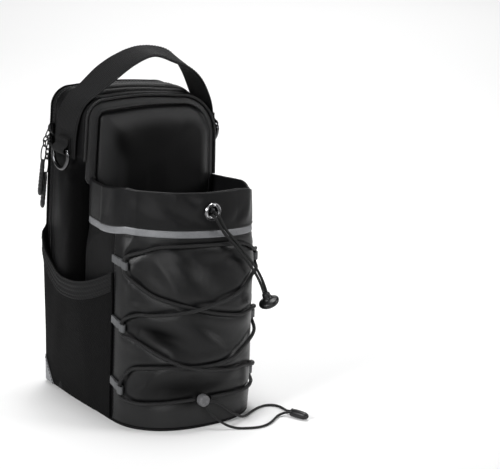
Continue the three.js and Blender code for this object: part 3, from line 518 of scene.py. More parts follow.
drawcordSet = {"thick": 0.0028, "sides": 12, "upper": [
    (0.0107, -0.0734, 0.2079), (0.0108, -0.0782, 0.2076), (0.0126, -0.081, 0.2044), (0.0162, -0.0812, 0.1984),
    (0.021, -0.0814, 0.1906), (0.0266, -0.0826, 0.184), (0.0328, -0.084, 0.177), (0.0392, -0.0838, 0.1696),
    (0.0456, -0.0824, 0.1626), (0.0516, -0.0808, 0.156), (0.0574, -0.0794, 0.1494), (0.0624, -0.0788, 0.1426),
    (0.0666, -0.0788, 0.1354), (0.0698, -0.079, 0.1284), (0.0722, -0.0794, 0.122),
], "lower": [
    (0.0081, -0.0734, 0.2052), (0.0081, -0.0786, 0.205), (0.0098, -0.0812, 0.2014), (0.0136, -0.0814, 0.1954),
    (0.0184, -0.0818, 0.1884), (0.024, -0.083, 0.1818), (0.0302, -0.0844, 0.1748), (0.0366, -0.0842, 0.1674),
    (0.043, -0.0828, 0.1604), (0.049, -0.0812, 0.1538), (0.0548, -0.0798, 0.1472), (0.0596, -0.0792, 0.1406),
    (0.0636, -0.0792, 0.1338), (0.0668, -0.0794, 0.1272), (0.069, -0.0798, 0.1214),
]}
tailSet = {"thick": 0.0024, "sides": 12, "upper": [
    (-0.0018, -0.0984, 0.0281), (0.0026, -0.0988, 0.0272), (0.0084, -0.1004, 0.0248),
    (0.0146, -0.1018, 0.0202), (0.022, -0.1018, 0.0142), (0.031, -0.0992, 0.0084),
    (0.04, -0.0948, 0.0039), (0.049, -0.0892, 0.0018), (0.058, -0.0836, 0.0015),
    (0.066, -0.0794, 0.0015), (0.0744, -0.0764, 0.0015), (0.0824, -0.0758, 0.0015),
    (0.0884, -0.079, 0.0015), (0.0912, -0.085, 0.0015), (0.0912, -0.091, 0.0016),
    (0.09, -0.0966, 0.0022), (0.089, -0.1016, 0.0032), (0.0897, -0.1063, 0.0042),
], "lower": [
    (-0.0051, -0.0984, 0.0237), (-0.003, -0.0989, 0.0196), (0, -0.101, 0.0152),
    (0.0046, -0.1038, 0.0108), (0.0102, -0.107, 0.0062), (0.017, -0.1104, 0.0028),
    (0.024, -0.114, 0.0015), (0.031, -0.1174, 0.0015), (0.038, -0.1196, 0.0015),
    (0.045, -0.1202, 0.0015), (0.052, -0.1188, 0.0015), (0.0584, -0.116, 0.0015),
    (0.0644, -0.1122, 0.0015), (0.0698, -0.1082, 0.0015), (0.0748, -0.1052, 0.0018),
    (0.0794, -0.1043, 0.0025), (0.0834, -0.1052, 0.0033), (0.0867, -0.1081, 0.0042),
]}


def addCord(name, route, s):
    line = smoothLine(np.array(route) / mm, 6)
    strand = addTube(name, line, s["thick"] / mm / 2, s["sides"], cordBraid, [name])
    length = np.linalg.norm(np.diff(line, axis=0), axis=1).sum() * mm
    print(name, "length", round(float(length), 4))
    return strand, line * mm, float(length)


# turned piece on the ends of two strands
def addCordEnd(name, cords, s):
    axis = unit(np.array(s["axis"], dtype=float))
    middle = (np.array(cords["upper"][-1]) + np.array(cords["lower"][-1])) / 2 / mm
    seat = middle + axis * s["clear"]
    profile = softened(s["profile"])
    return addTurned(name, profile, s["sides"], seat, axis, blackPlastic, [name])


toggleSet = {"axis": (0.4, -0.08, -0.9), "clear": 0.9, "sides": 40, "profile": [
    (0.01, 0), (3.8, 0), (4.2, 4), (5.2, 6.6), (9.4, 8.2), (10.5, 10.2), (9.6, 13), (5.6, 15.2),
    (0.01, 15.9)]}
tailEndSet = {"axis": (0.36, -0.93, 0), "clear": 0.9, "sides": 28, "profile": [
    (0.01, 0), (3.6, 0), (4, 1.2), (3.4, 2.2), (4, 3.2), (4.05, 11), (3.6, 16.4), (2.2, 19.4), (0.01, 20.2)]}
toggle = addCordEnd("drawcord_toggle", drawcordSet, toggleSet)
tailEnd = addCordEnd("tail_end", tailSet, tailEndSet)
for start, s, end in (("drawcord", drawcordSet, toggle), ("tail_cord", tailSet, tailEnd)):
    for which in ("upper", "lower"):
        strand, line, length = addCord(f"{start}_{which}", s[which], s)
print("cords laid")


# zipped case: outline from the front, then gusset, panels, zip and piping

caseSet = {"half": 73, "bulge": 3.5, "top": 300, "crown": 2.4, "foot": 3.3, "wall": 2.5, "fill": 0.4,
           "leftLift": 2.6, "leftCorner": 20, "rightCorner": 45, "rearCorner": 34,
           "frontY": 25, "gussetBackY": 79.7, "backY": 90, "puff": 1.9, "sidePuff": 2.2,
           # recess, recessFrom and recessTo: painted shade in the gusset's soft front edge, fading out
           # further back
           "recess": 0.8, "recessFrom": 12, "recessTo": 31, "softEdge": 17, "softReach": 22, "crispEdge": 3,
           "softLeft": 236, "softRight": 198, "firming": 14, "shownLeft": 225, "shownRight": 200, "tuck": 14,
           "sideFrom": 62, "sideTo": 71, "topFrom": 284, "topTo": 297,
           "seamZ": 243, "seamDeep": 1.3, "seamWide": 1.5, "seamStitch": 3, "zipStitch": 48,
           "sideSteps": 64, "cornerSteps": 20, "topSteps": 30, "depthSteps": 44}


def sideX(z):
    return caseSet["half"] + caseSet["bulge"] * np.sin(np.pi * z / caseSet["top"])


def caseOutline(inset, foot, tightest=4, right=caseSet["rightCorner"]):
    s = caseSet
    sideT = np.linspace(0, 1, s["sideSteps"], endpoint=False)
    topT = np.linspace(0, 1, s["topSteps"], endpoint=False)
    turn = np.linspace(0, 1, s["cornerSteps"], endpoint=False) * np.pi / 2
    corners = []
    for side, full, lift in ((-1, s["leftCorner"], s["leftLift"]), (1, right, 0)):
        radius = max(full - inset, tightest)
        x = side * (sideX(s["top"] - full) - inset - radius)
        corners.append((x, s["top"] + lift - inset - radius, radius))
    (leftX, leftZ, leftR), (rightX, rightZ, rightR) = corners
    rise = lerp(foot, leftZ, sideT)
    over = s["top"] - inset + s["leftLift"] * (1 - topT) + s["crown"] * np.sin(np.pi * topT)
    fall = lerp(rightZ, foot, np.append(sideT, 1))
    return np.concatenate([
        np.column_stack([inset - sideX(rise), rise]),
        np.column_stack([leftX - leftR * np.cos(turn), leftZ + leftR * np.sin(turn)]),
        np.column_stack([lerp(leftX, rightX, topT), over]),
        np.column_stack([rightX + rightR * np.sin(turn), rightZ + rightR * np.cos(turn)]),
        np.column_stack([sideX(fall) - inset, fall]),
    ])


archLine = caseOutline(0, caseSet["foot"])
archOut = unit(archLine - caseOutline(1, caseSet["foot"]))
archRear = caseOutline(0, caseSet["foot"], right=caseSet["rearCorner"])


# point grid on the case's skin: depths down the rows, outline along the columns
def skinGrid(depthY, out):
    y = np.broadcast_to(np.asarray(depthY, dtype=float)[:, None], out.shape)
    back = smoothstep(y, caseSet["frontY"] + 5, caseSet["gussetBackY"] - 4)
    x = lerp(archLine[:, 0], archRear[:, 0], back) + archOut[:, 0] * out
    return np.stack([x, y, lerp(archLine[:, 1], archRear[:, 1], back) + archOut[:, 1] * out], axis=-1)


# front edge: soft and round behind the pocket, crisp above it
def edgeCrisp(z, x):
    softTo = np.where(x < 0, caseSet["softLeft"], caseSet["softRight"])
    return smoothstep(z, softTo, softTo + caseSet["firming"])


# soft folds of the two sides, placed by their depth from the front
sideFolds = [
    fold(30, 232, 30, 5, 80, -1.2),
    fold(27, 233, 13, 20, 0, -2.2),  # room for the ring
    fold(16, 222, 20, 6, 58, 1.3),
    fold(34, 205, 36, 9, 12, 1.1),
    fold(20, 176, 34, 7, -14, -1.0),
    fold(40, 150, 40, 9, 9, 0.9),
    fold(44, 268, 26, 8, 24, 0.8),
]
# creases along the top, behind the piping, each running a little forward to the right
topCreases = [
    {"back": 8, "wide": 1.8, "rise": -1.1, "wander": 0.05},
    {"back": 14, "wide": 4, "rise": 1.0, "wander": 0.06},
    {"back": 23, "wide": 2.4, "rise": -1.1, "wander": 0.1},
    {"back": 33, "wide": 6, "rise": 0.9, "wander": 0.08},
]


def gussetOut(depth, z, x):
    s = caseSet
    crisp = edgeCrisp(z, x)
    edge = np.clip(1 - depth / lerp(s["softReach"], s["crispEdge"], crisp), 0, 1)
    roll = lerp(s["softEdge"], s["crispEdge"], crisp) * (1 - np.sqrt(1 - edge**2))
    onSide = smoothstep(np.abs(x), s["sideFrom"], s["sideTo"])
    onTop = smoothstep(z, s["topFrom"], s["topTo"])
    below = onSide * (1 - smoothstep(z, s["seamZ"] - 4, s["seamZ"]))
    belly = np.sin(np.pi * depth / (s["gussetBackY"] - s["frontY"]))
    seam = onSide * np.exp(-(((z - s["seamZ"]) / s["seamWide"]) ** 2)) * smoothstep(depth, 0, 6)
    slack = onSide * foldHeight(sideFolds, depth, z)
    for c in topCreases:
        aside = (depth - c["back"] + c["wander"] * x) / c["wide"]
        slack = slack + onTop * c["rise"] * np.exp(-(aside**2))
    return (s["puff"] + s["sidePuff"] * below + slack) * belly - roll - s["seamDeep"] * seam


def makeGusset():
    s = caseSet
    x, z = archLine.T
    span = s["gussetBackY"] - s["frontY"]
    depth = (1 - np.cos(np.linspace(0, 1, s["depthSteps"]) * np.pi)) / 2 * span
    out = gussetOut(depth[:, None], z[None], x[None])
    outer, inner = (skinGrid(s["frontY"] + depth, out - wall) for wall in (0, s["wall"]))
    soft = 1 - edgeCrisp(z[None], x[None])
    # painted shade in the recess along the soft front edge, fading out further back
    shade = s["recess"] * soft * (1 - smoothstep(depth[:, None], s["recessFrom"], s["recessTo"]))
    gusset = addSheet("caseGusset", outer, inner, sideCloth, "shell_cloth", ["case_gusset"], shade=shade)
    # stitching across each side where the piping ends, and beside the zip
    rows = []
    depth = np.linspace(4, span - 1, 60)
    level = s["seamZ"] + s["seamStitch"]
    for side in (-1, 1):
        out = sideX(level) + gussetOut(depth, level, side * 75.0)
        rows.append((np.column_stack([side * out, s["frontY"] + depth, np.full(60, level)]), (side, 0, 0)))
    edge = gussetOut(np.full((1, 1), s["zipStitch"]), z[None], x[None])
    line = skinGrid([s["frontY"] + s["zipStitch"]], edge)[0]
    rows.append((line, np.column_stack([archOut[:, 0], 0 * x, archOut[:, 1]])))
    addStitches("caseGussetStitches", rows)


# padded panels; relief is the distance in from the edge and how proud the face stands there
panelSet = {"tightest": 6, "footSteps": 40, "tuckReach": 20, "groove": 10, "grooveFrom": 7.5, "grooveTo": 12,
            "narrowFrom": -40, "narrowTo": 50, "stitch": 5.2}
# the front panel's face gets painted shade: its strength, its fade to the right and its slant in at the low
# left
frontSet = {"edge": 2, "gap": 0.3, "fill": 0.7, "steep": 1.8, "smoothRight": 0.9, "narrowRight": 3.6,
            "paintedShade": 0.62, "fade": 0.3, "slant": 13, "relief": [
    (0, 0), (0.8, 0.6), (2.5, 1.4), (5, 2.3), (7.2, 3), (8.3, 2.8), (9.1, 1.2), (9.8, -0.5), (10.2, -0.6),
    (10.7, 0), (11.4, 1.7), (12.6, 3.2), (14.6, 4.6), (18, 6.2), (22, 7.8), (26, 9), (29.5, 9.75),
    (32, 10.05), (35, 10.2), (62, 10.2)]}
backSet = {"edge": 1.2, "fill": 0.5, "steep": 1, "smoothRight": 0, "narrowRight": 0,
           "paintedShade": 0, "fade": 0, "slant": 0, "relief": [
    (0, 0), (0.8, 0.9), (2, 1.4), (8, 1.9), (9.6, 1.2), (11, 0.8), (12.5, 1.3), (16, 2.3), (34, 3),
    (62, 3.2)]}
# their soft dents
frontDents = [
    fold(-8, 262, 34, 22, 60, -1.6),
    fold(-38, 268, 20, 10, -40, 0.9),
    fold(34, 272, 22, 12, 50, 0.7),
    fold(26, 240, 26, 16, 10, -0.9),
]
backDents = [
    fold(-20, 200, 60, 26, 12, -0.8),
    fold(26, 110, 60, 24, -16, -0.7),
    fold(0, 40, 40, 20, 70, 0.6),
]


def panelRing(inset, edge, y, narrowed):
    s, p = caseSet, panelSet
    foot = s["foot"] + inset
    right = s["rightCorner" if narrowed else "rearCorner"]
    x, z = caseOutline(edge + inset, foot, p["tightest"], right).T
    if narrowed:
        shown = np.where(x < 0, s["shownLeft"], s["shownRight"])
        hidden = (1 - smoothstep(z, shown - s["tuck"], shown)) * max(0, 1 - inset / p["tuckReach"])
        x = x - np.sign(x) * (s["softEdge"] - s["crispEdge"]) * hidden
    bottom = np.linspace(0, 1, p["footSteps"] + 2)[1:-1]
    x = np.append(x, lerp(x[-1], x[0], bottom))
    z = np.append(z, np.full(p["footSteps"], foot))
    return np.column_stack([x, np.broadcast_to(y, x.shape), z])


def addPanel(name, s, edge, rearY, frontward, narrowed, material, replaces, dents):
    p = panelSet
    known, stands = np.array(s["relief"]).T
    plain = (known < p["grooveFrom"]) | (known > p["grooveTo"])
    faceRight = np.append(archOut[:, 0], np.zeros(p["footSteps"]))
    across = np.append(archLine[:, 0], np.full(p["footSteps"], p["narrowFrom"]))
    # the right side rises faster, the band narrows towards it and its groove is pulled nearly flat
    steep = lerp(1, s["steep"], smoothstep(faceRight, 0, 1))
    start = p["groove"] - s["narrowRight"] * smoothstep(across, p["narrowFrom"], p["narrowTo"])
    flat = s["smoothRight"] * smoothstep(faceRight, 0.25, 0.9)
    rings = [panelRing(inset, edge, rearY, narrowed) for inset in (30, 0)]
    shade = [np.zeros(len(rings[0]))] * 2
    for inset in np.concatenate([np.linspace(0, 16, 50), np.linspace(17, 62, 40)]):
        place = np.where(inset > start, p["groove"] + (inset - start) * steep, p["groove"] * inset / start)
        proud = eased(place, known, stands, 2 * smoothstep(place, 12, 22))
        proud = lerp(proud, np.interp(place, known[plain], stands[plain]), flat)
        ring = panelRing(inset, edge, rearY + frontward * (s["edge"] + proud), narrowed)
        ring[:, 1] += frontward * smoothstep(inset, 12, 26) * foldHeight(dents, ring[:, 0], ring[:, 2])
        rings.append(ring)
        # painted shade on the face: it starts further in at the low left and fades to the right
        lowLeft = smoothstep(-ring[:, 2], -266, -236) * smoothstep(-ring[:, 0], -10, 30)
        faded = 1 - s["fade"] * smoothstep(ring[:, 0], -5, 45)
        shade.append(s["paintedShade"] * faded * smoothstep(place - s["slant"] * lowLeft, 19, 31))
    grid = np.array(rings)
    rows, cols = grid.shape[:2]
    points = np.concatenate([grid.reshape(-1, 3), grid[:1].mean(axis=1), grid[-1:].mean(axis=1)])
    rear, centre, last = rows * cols, rows * cols + 1, (rows - 1) * cols
    faces = gridFaces(rows, cols, closed=True)
    faces += [[(c + 1) % cols, c, rear] for c in range(cols)]
    faces += [[last + c, last + (c + 1) % cols, centre] for c in range(cols)]
    paintedShade = np.append(np.array(shade), [0, s["paintedShade"]]) if s["paintedShade"] else None
    panel = addPiece(name, points, faces, material, replaces, uv=points[:, [0, 2]], shade=paintedShade)
    high = s["edge"] + np.interp(p["stitch"], known, stands)
    ring = panelRing(p["stitch"], edge, rearY + frontward * high, narrowed)
    addStitches(name + "Stitches", [(ring[: len(archLine)], (0, frontward, 0))])


zipSet = {"from": 80, "to": 89.7, "coil": 2.6, "groove": 2, "sunk": -1.4, "thick": 1.2,
          "tooth": 1.7, "lean": 0.105, "half": 0.62, "high": 0.5, "sides": 6,
          "profile": [(-2.3, 0.5), (-1.6, 1), (1.6, 1), (2.3, 0.5)]}


def makeZip():
    s = zipSet
    middle = (s["from"] + s["to"]) / 2
    folded = [middle + off for off in (-s["coil"], -s["groove"], s["groove"], s["coil"])]
    y = np.array([s["from"], *folded, s["to"]])
    out = np.full((len(y), len(archLine)), s["sunk"])
    addSheet("zipTape", skinGrid(y, out), skinGrid(y, out - s["thick"]), zipTapeCloth, "zip", ["zip_tape"])
    # coil teeth, each a short bar that thins towards its ends, turned alternately
    teeth = evenly(skinGrid([middle], out[:1] + 0.1)[0], s["tooth"])
    points = []
    faces = []
    for k, (place, ahead) in enumerate(zip(teeth, unit(np.gradient(teeth, axis=0)))):
        up = np.array([-ahead[2], 0, ahead[0]])
        lean = s["lean"] if k % 2 else -s["lean"]
        faces += cappedFaces(len(s["profile"]), s["sides"], len(points))
        for y, swell in s["profile"]:
            centre = place + np.array([0, y, 0]) + ahead * lean * y
            for turn in np.arange(s["sides"]) * 2 * np.pi / s["sides"]:
                bar = ahead * s["half"] * math.cos(turn) + up * s["high"] * (1 + math.sin(turn))
                points.append(centre + bar * swell)
    addPiece("zipCoil", points, faces, zipCoil)


pipingSet = {"radius": 1.5, "out": -1.2, "y": 23.1, "endLeft": 241, "endRight": 212}


def makePiping():
    s = pipingSet
    line = skinGrid(np.array([s["y"]]), np.full((1, len(archLine)), s["out"]))[0]
    end = np.where(line[:, 0] < 0, s["endLeft"], s["endRight"])
    line = line[line[:, 2] > end]
    addTube("frontPiping", line, s["radius"], 12, panelCloth, ["front_piping"])


makeGusset()
gap = frontSet["gap"]
addPanel("caseFrontPanel", frontSet, caseSet["crispEdge"] + gap, caseSet["frontY"] - gap, -1, True,
         bulgeCloth, ["case_front_panel"], frontDents)
addPanel("caseBackPanel", backSet, 0, caseSet["backY"], 1, False, shellCloth, ["case_back_panel"], backDents)
makeZip()
makePiping()
print("case made")


# bottle pocket: plan by height, then the front, the sides, the strip and the collar

pocketSet = {"seam": 0.6, "seamY": -36, "fold": 0.8, "foldY": 21, "foldLeft": 3, "sewnY": 25, "wall": 2,
             "foot": 3.3, "quarter": 103, "stripLow": 184, "stripHigh": 190.5, "stripProud": 0.8,
             "stripBack": -1.2, "rim": 231, "collarWall": 3, "gap": 0.3}
clothScale = pocketSet["quarter"] / pocketSet["seam"]  # millimetres of cloth for one unit around
# plan at six heights
pocketHeights = [0, 14, 60, 120, 187, 231]
pocketTable = {
    "half": [73, 73.5, 73.5, 73.5, 74.5, 73],
    "front": [-92, -93, -90, -85, -77, -73],
    "left": [2.3, 2.3, 2.2, 2, 1.6, 1.7],
    "right": [2.4, 2.4, 2.5, 2.6, 3, 3],
    "sag": [0, 1, 3, 4, 5, 7],
    "droop": [0, 0, 0, 1, 5, 6],
    "foldRight": [3, 3, 3, 3, 3, 1.5],
    "sewnLeft": [24, 24, 24, 24, 22, 20],
    "sewnRight": [24, 24, 24, 24, 14, 2],
    "end": [0, 0, 0, 0, 4, 1.5],
}
# rim of the collar, pulled down by its own weight: distance around and dip below a level rim
rimDips = [(-1, 6), (-0.6, 3.2), (-0.45, 5.4), (0, 3.4), (0.2, 0.4), (0.34, 3), (0.46, 6.4), (0.52, 5.4),
           (0.6, -2), (0.72, -2.2), (0.85, 2), (1, 9.3)]
# soft folds of the front cloth, placed across from the middle
frontFolds = [
    fold(-22, 146, 38, 12, -38, 3.4, skew=1.8),
    fold(-2, 160, 18, 9, -30, -1.4),
    fold(-40, 150, 26, 5, -34, 1.1),
    fold(-44, 92, 24, 8, -74, -2.8),
    fold(-36, 76, 13, 9, -60, 1.8),
    fold(6, 79, 30, 8, -46, 3.6, skew=2),
    fold(33, 62, 24, 12, -52, -1.8),
    fold(-56, 43, 20, 7, 45, 3, round=1.7),
    fold(-14, 61, 46, 10, 90, 1.8),
    fold(-20, 41, 46, 14, 86, -2.2),
    fold(44, 38, 14, 8, 5, 1.5),
]
# smaller creases on top of them
frontCreases = [
    fold(-76, 138, 16, 5, 11, 1.5),
    fold(30, 132, 24, 9, -10, 1.0),
    fold(-62, 112, 14, 5, -60, 1.2),
    fold(-4, 120, 18, 5, -66, -1.2),
    fold(40, 100, 16, 6, -62, 1.0),
    fold(-14, 58, 14, 5, -75, 0.9),
    fold(-70, 168, 16, 6, 34, -1.3),
    fold(-30, 170, 16, 5, -60, 0.9),
    fold(24, 166, 20, 6, 70, -0.8),
    fold(-70, 84, 14, 5, 24, 1.1),
    fold(12, 42, 16, 6, 58, 0.8),
]


def pocketRow(z):
    return {key: eased(z, pocketHeights, column, 6) for key, column in pocketTable.items()}


def plainPlan(around, z, row):
    s = pocketSet
    side, far = np.sign(around), np.abs(around)
    turn = np.clip(far / s["seam"], 0, 1) * np.pi / 2
    power = 2 / np.where(side < 0, row["left"], row["right"])
    t = np.clip((far - s["seam"]) / (1 - s["seam"]), 0, 1)
    behind = np.clip(t / s["fold"], 0, 1)
    turned = np.clip((t - s["fold"]) / (1 - s["fold"]), 0, 1)
    inFront = far <= s["seam"]
    folded = sideX(z) - np.where(side < 0, s["foldLeft"], row["foldRight"])
    sewn = sideX(z) - np.where(side < 0, row["sewnLeft"], row["sewnRight"])
    sideways = lerp(lerp(row["half"], folded, behind), sewn, turned)
    x = np.where(inFront, row["half"] * np.sin(turn) ** power, sideways)
    frontY = lerp(s["seamY"], row["front"], np.maximum(np.cos(turn), 0) ** power)
    y = np.where(inFront, frontY, lerp(lerp(s["seamY"], s["foldY"], behind), s["sewnY"], turned))
    return side * x, y


# plan with its corners at the seams eased round
def pocketPlan(around, z):
    row = pocketRow(z)
    wider = lerp(1, 3, smoothstep(z, pocketSet["stripLow"] - 34, pocketSet["stripHigh"]))
    ease = np.clip((1 - np.abs(around)) / 0.24, 0, 1) * wider
    places = [plainPlan(around + step * ease, z, row) for step in (-0.06, -0.03, 0, 0.03, 0.06)]
    x, y = (sum(values) / len(places) for values in zip(*places))
    return x, y, row


def frontRise(around, z, fine):
    s = pocketSet
    across, fromSeam = around * clothScale, s["seam"] - np.abs(around)
    # folds fade at the seams, under the strip and at the foot
    fade = smoothstep(fromSeam, 0, 0.12) * smoothstep(180 - z, 0, 24) * smoothstep(z, 4, 20)
    rise = foldHeight(frontFolds, across, z) * fade
    if fine:
        edge = smoothstep(fromSeam, 0, 0.05) * smoothstep(182 - z, 0, 10) * smoothstep(z, 4, 12)
        rise = rise + edge * foldHeight(frontCreases, across, z)
        # the seam is drawn in
        below = smoothstep(s["stripLow"] + 2 - z, 0, 4)
        rise = rise - 0.9 * below * np.exp(-((fromSeam * clothScale / 1.6) ** 2))
    return rise


# painted shade in the low valleys of the front
def frontShade(around, z):
    valleys = [f for f in frontFolds if f.rise < 0 and f.z < 120]
    return 0.88 * np.clip(-foldHeight(valleys, around * clothScale, z) / 2.6, 0, 1)


def collarRise(z):
    return np.maximum((z - pocketSet["stripHigh"]) / (pocketSet["rim"] - pocketSet["stripHigh"]), 0)


def rimDip(around):
    return eased(around, *np.array(rimDips).T, 0.02)


def pocketPoint(around, z, out=0.0, fine=False):
    around, z, out = np.broadcast_arrays(*(np.asarray(v, dtype=float) for v in (around, z, out)))
    x, y, row = pocketPlan(around, z)
    x0, y0, _ = pocketPlan(np.clip(around - 2e-3, -1, 1), z)
    x1, y1, _ = pocketPlan(np.clip(around + 2e-3, -1, 1), z)
    along = unit(np.stack([x1 - x0, y1 - y0], axis=-1))
    proud = out + frontRise(around, z, fine)
    far = np.abs(around)
    slack = np.where(far > 0.5, np.sin(2 * np.pi * (1 - far)), 0)
    end = row["end"] * smoothstep(-around, 0.78, 1)
    drop = row["sag"] * x / row["half"] + row["droop"] * slack + end + rimDip(around) * collarRise(z)
    return np.stack([x + along[..., 1] * proud, y - along[..., 0] * proud, z - drop], axis=-1)


def pocketNormal(around, z):
    return unit(pocketPoint(around, z, 1.0) - pocketPoint(around, z, 0.0))


def pocketSheet(name, a, z, outer, inner, material, slotName, node,
                skip=None, shade=None):
    face = pocketPoint(a, z, outer, True)
    back = pocketPoint(a, z, inner, True)
    piece = addSheet(name, face, back, material, slotName, [node], skip=skip, shade=shade)


eyeletSet = {"around": 0.012, "z": 210.5, "hole": 6.6, "deep": 6, "profile": [
    (5.4, -2.4), (5.9, -2.4), (5.9, 1.7), (9, 1.7), (9.05, 2.3), (8.7, 2.8), (8.2, 2.7), (7.8, 2.1),
    (7.3, 1.8), (6.8, 2), (6.4, 2.5), (5.9, 2.6), (5.5, 2.2), (5.4, 1.4)],
    "washer": [(5.5, -3.4), (8.6, -3.6), (8.8, -3.2), (8.4, -2.9), (5.5, -2.6)]}
collarSet = {"proud": 1.15, "puff": 0.4, "edge": 1.6, "lip": 1.5}
# folds of the collar, which the drawcord pulls in
collarFolds = [
    fold(-18, 219, 24, 8, -55, 2.2),
    fold(-27, 206, 24, 6, -55, -1.8),
    fold(-62, 206, 22, 8, -66, 0.9),
    fold(-84, 216, 18, 9, 20, -0.9),
    fold(46, 212, 24, 9, 20, 2, skew=2.4),
    fold(30, 202, 16, 5, 40, -1.0),
    fold(82, 214, 20, 7, 12, -1.0),
    fold(-120, 212, 24, 10, 15, -1.4),
    fold(124, 210, 24, 10, -15, -1.4),
]


# the collar hangs a little over the strip, and its folds fade at the eyelet
def collarOut(a, z):
    s, c, e = pocketSet, collarSet, eyeletSet
    up = collarRise(z)
    under = np.clip(1 - (z - s["stripHigh"]) / c["edge"], 0, 1)
    rolled = c["edge"] * (1 - np.sqrt(1 - under**2)) * 0.6
    clear = smoothstep(np.hypot((a - e["around"]) * clothScale, z - e["z"]), 9, 17)
    slack = smoothstep(up, 0, 0.3) * clear * foldHeight(collarFolds, a * clothScale, z)
    return c["proud"] + c["puff"] * np.sin(np.pi * up) + slack - rolled


# cord loops on the seams and the bungee cord laced through them

loopSet = {"tall": 7, "reach": 16, "sheet": 0.8, "clear": 0.5, "eye": 2.1, "drop": 5, "pitch": 60,
           "topZ": 161}
bungeeSet = {"radius": 1.75, "sides": 14, "sunk": 0.4, "dent": 0.9, "dentWide": 3.2, "swell": 0.35}
eyeOut = loopSet["clear"] + loopSet["sheet"] + loopSet["eye"]


def aroundFrom(side, length, z):
    far = np.arange(pocketSet["seam"], 0.2, -0.002)
    line = pocketPoint(side * far, np.full(len(far), float(z)))
    return side * np.interp(length, lengthAlong(line), far)


def loopHeight(row):
    return loopSet["topZ"] - row * loopSet["pitch"]


def loopPoint(side, length, z, out):
    return pocketPoint(aroundFrom(side, length, z), z - loopSet["drop"] * length / loopSet["reach"], out)


def addLoop(name, side, row, node):
    s = loopSet
    lower = s["clear"] + s["sheet"] / 2
    upper = lower + s["sheet"] + 0.3
    bend = s["eye"] + s["sheet"] / 2
    turns = np.radians(np.linspace(-75, 200, 16))
    run = [(0.5, lower), (3.5, lower), (7, lower), (s["reach"] - 6, lower + 0.05)]
    run += [(s["reach"] + bend * math.cos(t), eyeOut + bend * math.sin(t)) for t in turns]
    run += [(s["reach"] - back, upper + up) for back, up in ((6.4, 1.1), (8.5, 0.45), (10.5, 0.12), (13, 0))]
    run = np.array(run + [(0.5, upper)])
    ahead = np.gradient(run, axis=0)
    normal = unit(np.column_stack([-ahead[:, 1], ahead[:, 0]]))
    heights = loopHeight(row) + np.linspace(-0.5, 0.5, 5) * s["tall"]
    grids = []
    for off in (s["sheet"] / 2, -s["sheet"] / 2):
        face = run + normal * off
        grids.append(np.array([[loopPoint(side, length, z, out) for length, out in face] for z in heights]))
    addSheet(name, *grids, loopTape, "reflective_tape", [node])


# lift of the cord: on the cloth, leaning on another strand and right over it
lifts = [bungeeSet["radius"] - bungeeSet["sunk"]]
lifts += [lifts[0] + bungeeSet["radius"], lifts[0] + 2 * bungeeSet["radius"] + 0.3]
# each run: the places it passes, around, height and which lift, then the side and row of the loop it enters
lacing = [
    {"by": [(-0.14, 29, 0), (-0.28, 27, 0), (-0.4, 26, 0)], "eye": (-1, 2), "upwards": True},
    {"by": [(-0.43, 57, 0), (-0.33, 61, 0), (-0.18, 63, 0), (-0.04, 62, 0), (0.06, 64, 0), (0.17, 70, 0),
            (0.3, 80, 1)], "eye": (1, 1), "upwards": True},
    {"by": [(0.41, 107, 1), (0.3, 108, 0), (0.18, 107, 0), (0.05, 111, 0), (-0.07, 118, 0),
            (-0.19, 124, 0), (-0.3, 130, 0), (-0.38, 138, 0)], "eye": (-1, 0), "upwards": True},
    {"by": [(-0.36, 170, 0), (-0.28, 175, 0), (-0.13, 177, 0), (0.02, 177.5, 0), (0.16, 177, 0),
            (0.27, 173, 0), (0.36, 167, 0)], "eye": (1, 0), "upwards": False},
    {"by": [(0.41, 146, 1), (0.32, 142, 0), (0.19, 132, 0), (0.06, 124, 1), (-0.07, 118, 2),
            (-0.19, 114, 1), (-0.31, 111.5, 0), (-0.39, 110.5, 0)], "eye": (-1, 1), "upwards": False},
    {"by": [(-0.42, 87, 0), (-0.33, 80, 0), (-0.22, 71, 1), (-0.12, 64, 2), (0, 58, 1), (0.1, 55, 0),
            (0.22, 54, 0), (0.32, 51, 1)], "eye": (1, 2), "upwards": False},
    {"by": [(0.34, 29, 0), (0.2, 29, 0), (0.06, 30, 0)]},
]
lockSet = {"around": -0.03, "z": 29, "half": 0.036, "profile": [
    (0.01, 0.5), (4.9, 0.5), (5.8, 1.4), (5.8, 5.3), (5.3, 5.7), (5.8, 6.2), (5.7, 7.4), (4.8, 8.4), (3, 8.5),
    (2.4, 7.9), (0.01, 7.7)]}


# bungee over the cloth, close together: distance across, height and lift
def lacingRoute():
    s = lockSet
    ends = [(s["around"] + sign * s["half"], s["z"] + 1, lifts[0] + 1) for sign in (-1, 1)]
    route = [ends[0]]
    for run in lacing:
        route += [(around, z, lifts[k]) for around, z, k in run["by"]]
        if "eye" in run:
            side, row = run["eye"]
            reach = (loopSet["tall"] / 2 + 3) * (1 if run["upwards"] else -1)
            for z in loopHeight(row) + np.array([-reach, 0, reach]):
                route.append((aroundFrom(side, loopSet["reach"], z), z - loopSet["drop"], eyeOut))
    route.append(ends[1])
    return evenly(smoothLine([(a * clothScale, z, lift) for a, z, lift in route], 10), 1.5)


bungeeRoute = lacingRoute()


# the cloth gives way under the cord and swells a little beside it
def cordDent(a, z):
    s = bungeeSet
    lying = bungeeRoute[bungeeRoute[:, 2] < lifts[1]]
    finder = kdtree.KDTree(len(lying))
    for k, (across, height, _) in enumerate(lying):
        finder.insert((across, height, 0), k)
    finder.balance()
    flat = zip((a * clothScale).ravel(), z.ravel())
    near = np.array([finder.find((across, height, 0))[2] for across, height in flat]).reshape(a.shape)
    return s["swell"] * np.exp(-(((near - 8) / 5) ** 2)) - s["dent"] * np.exp(-((near / s["dentWide"]) ** 2))


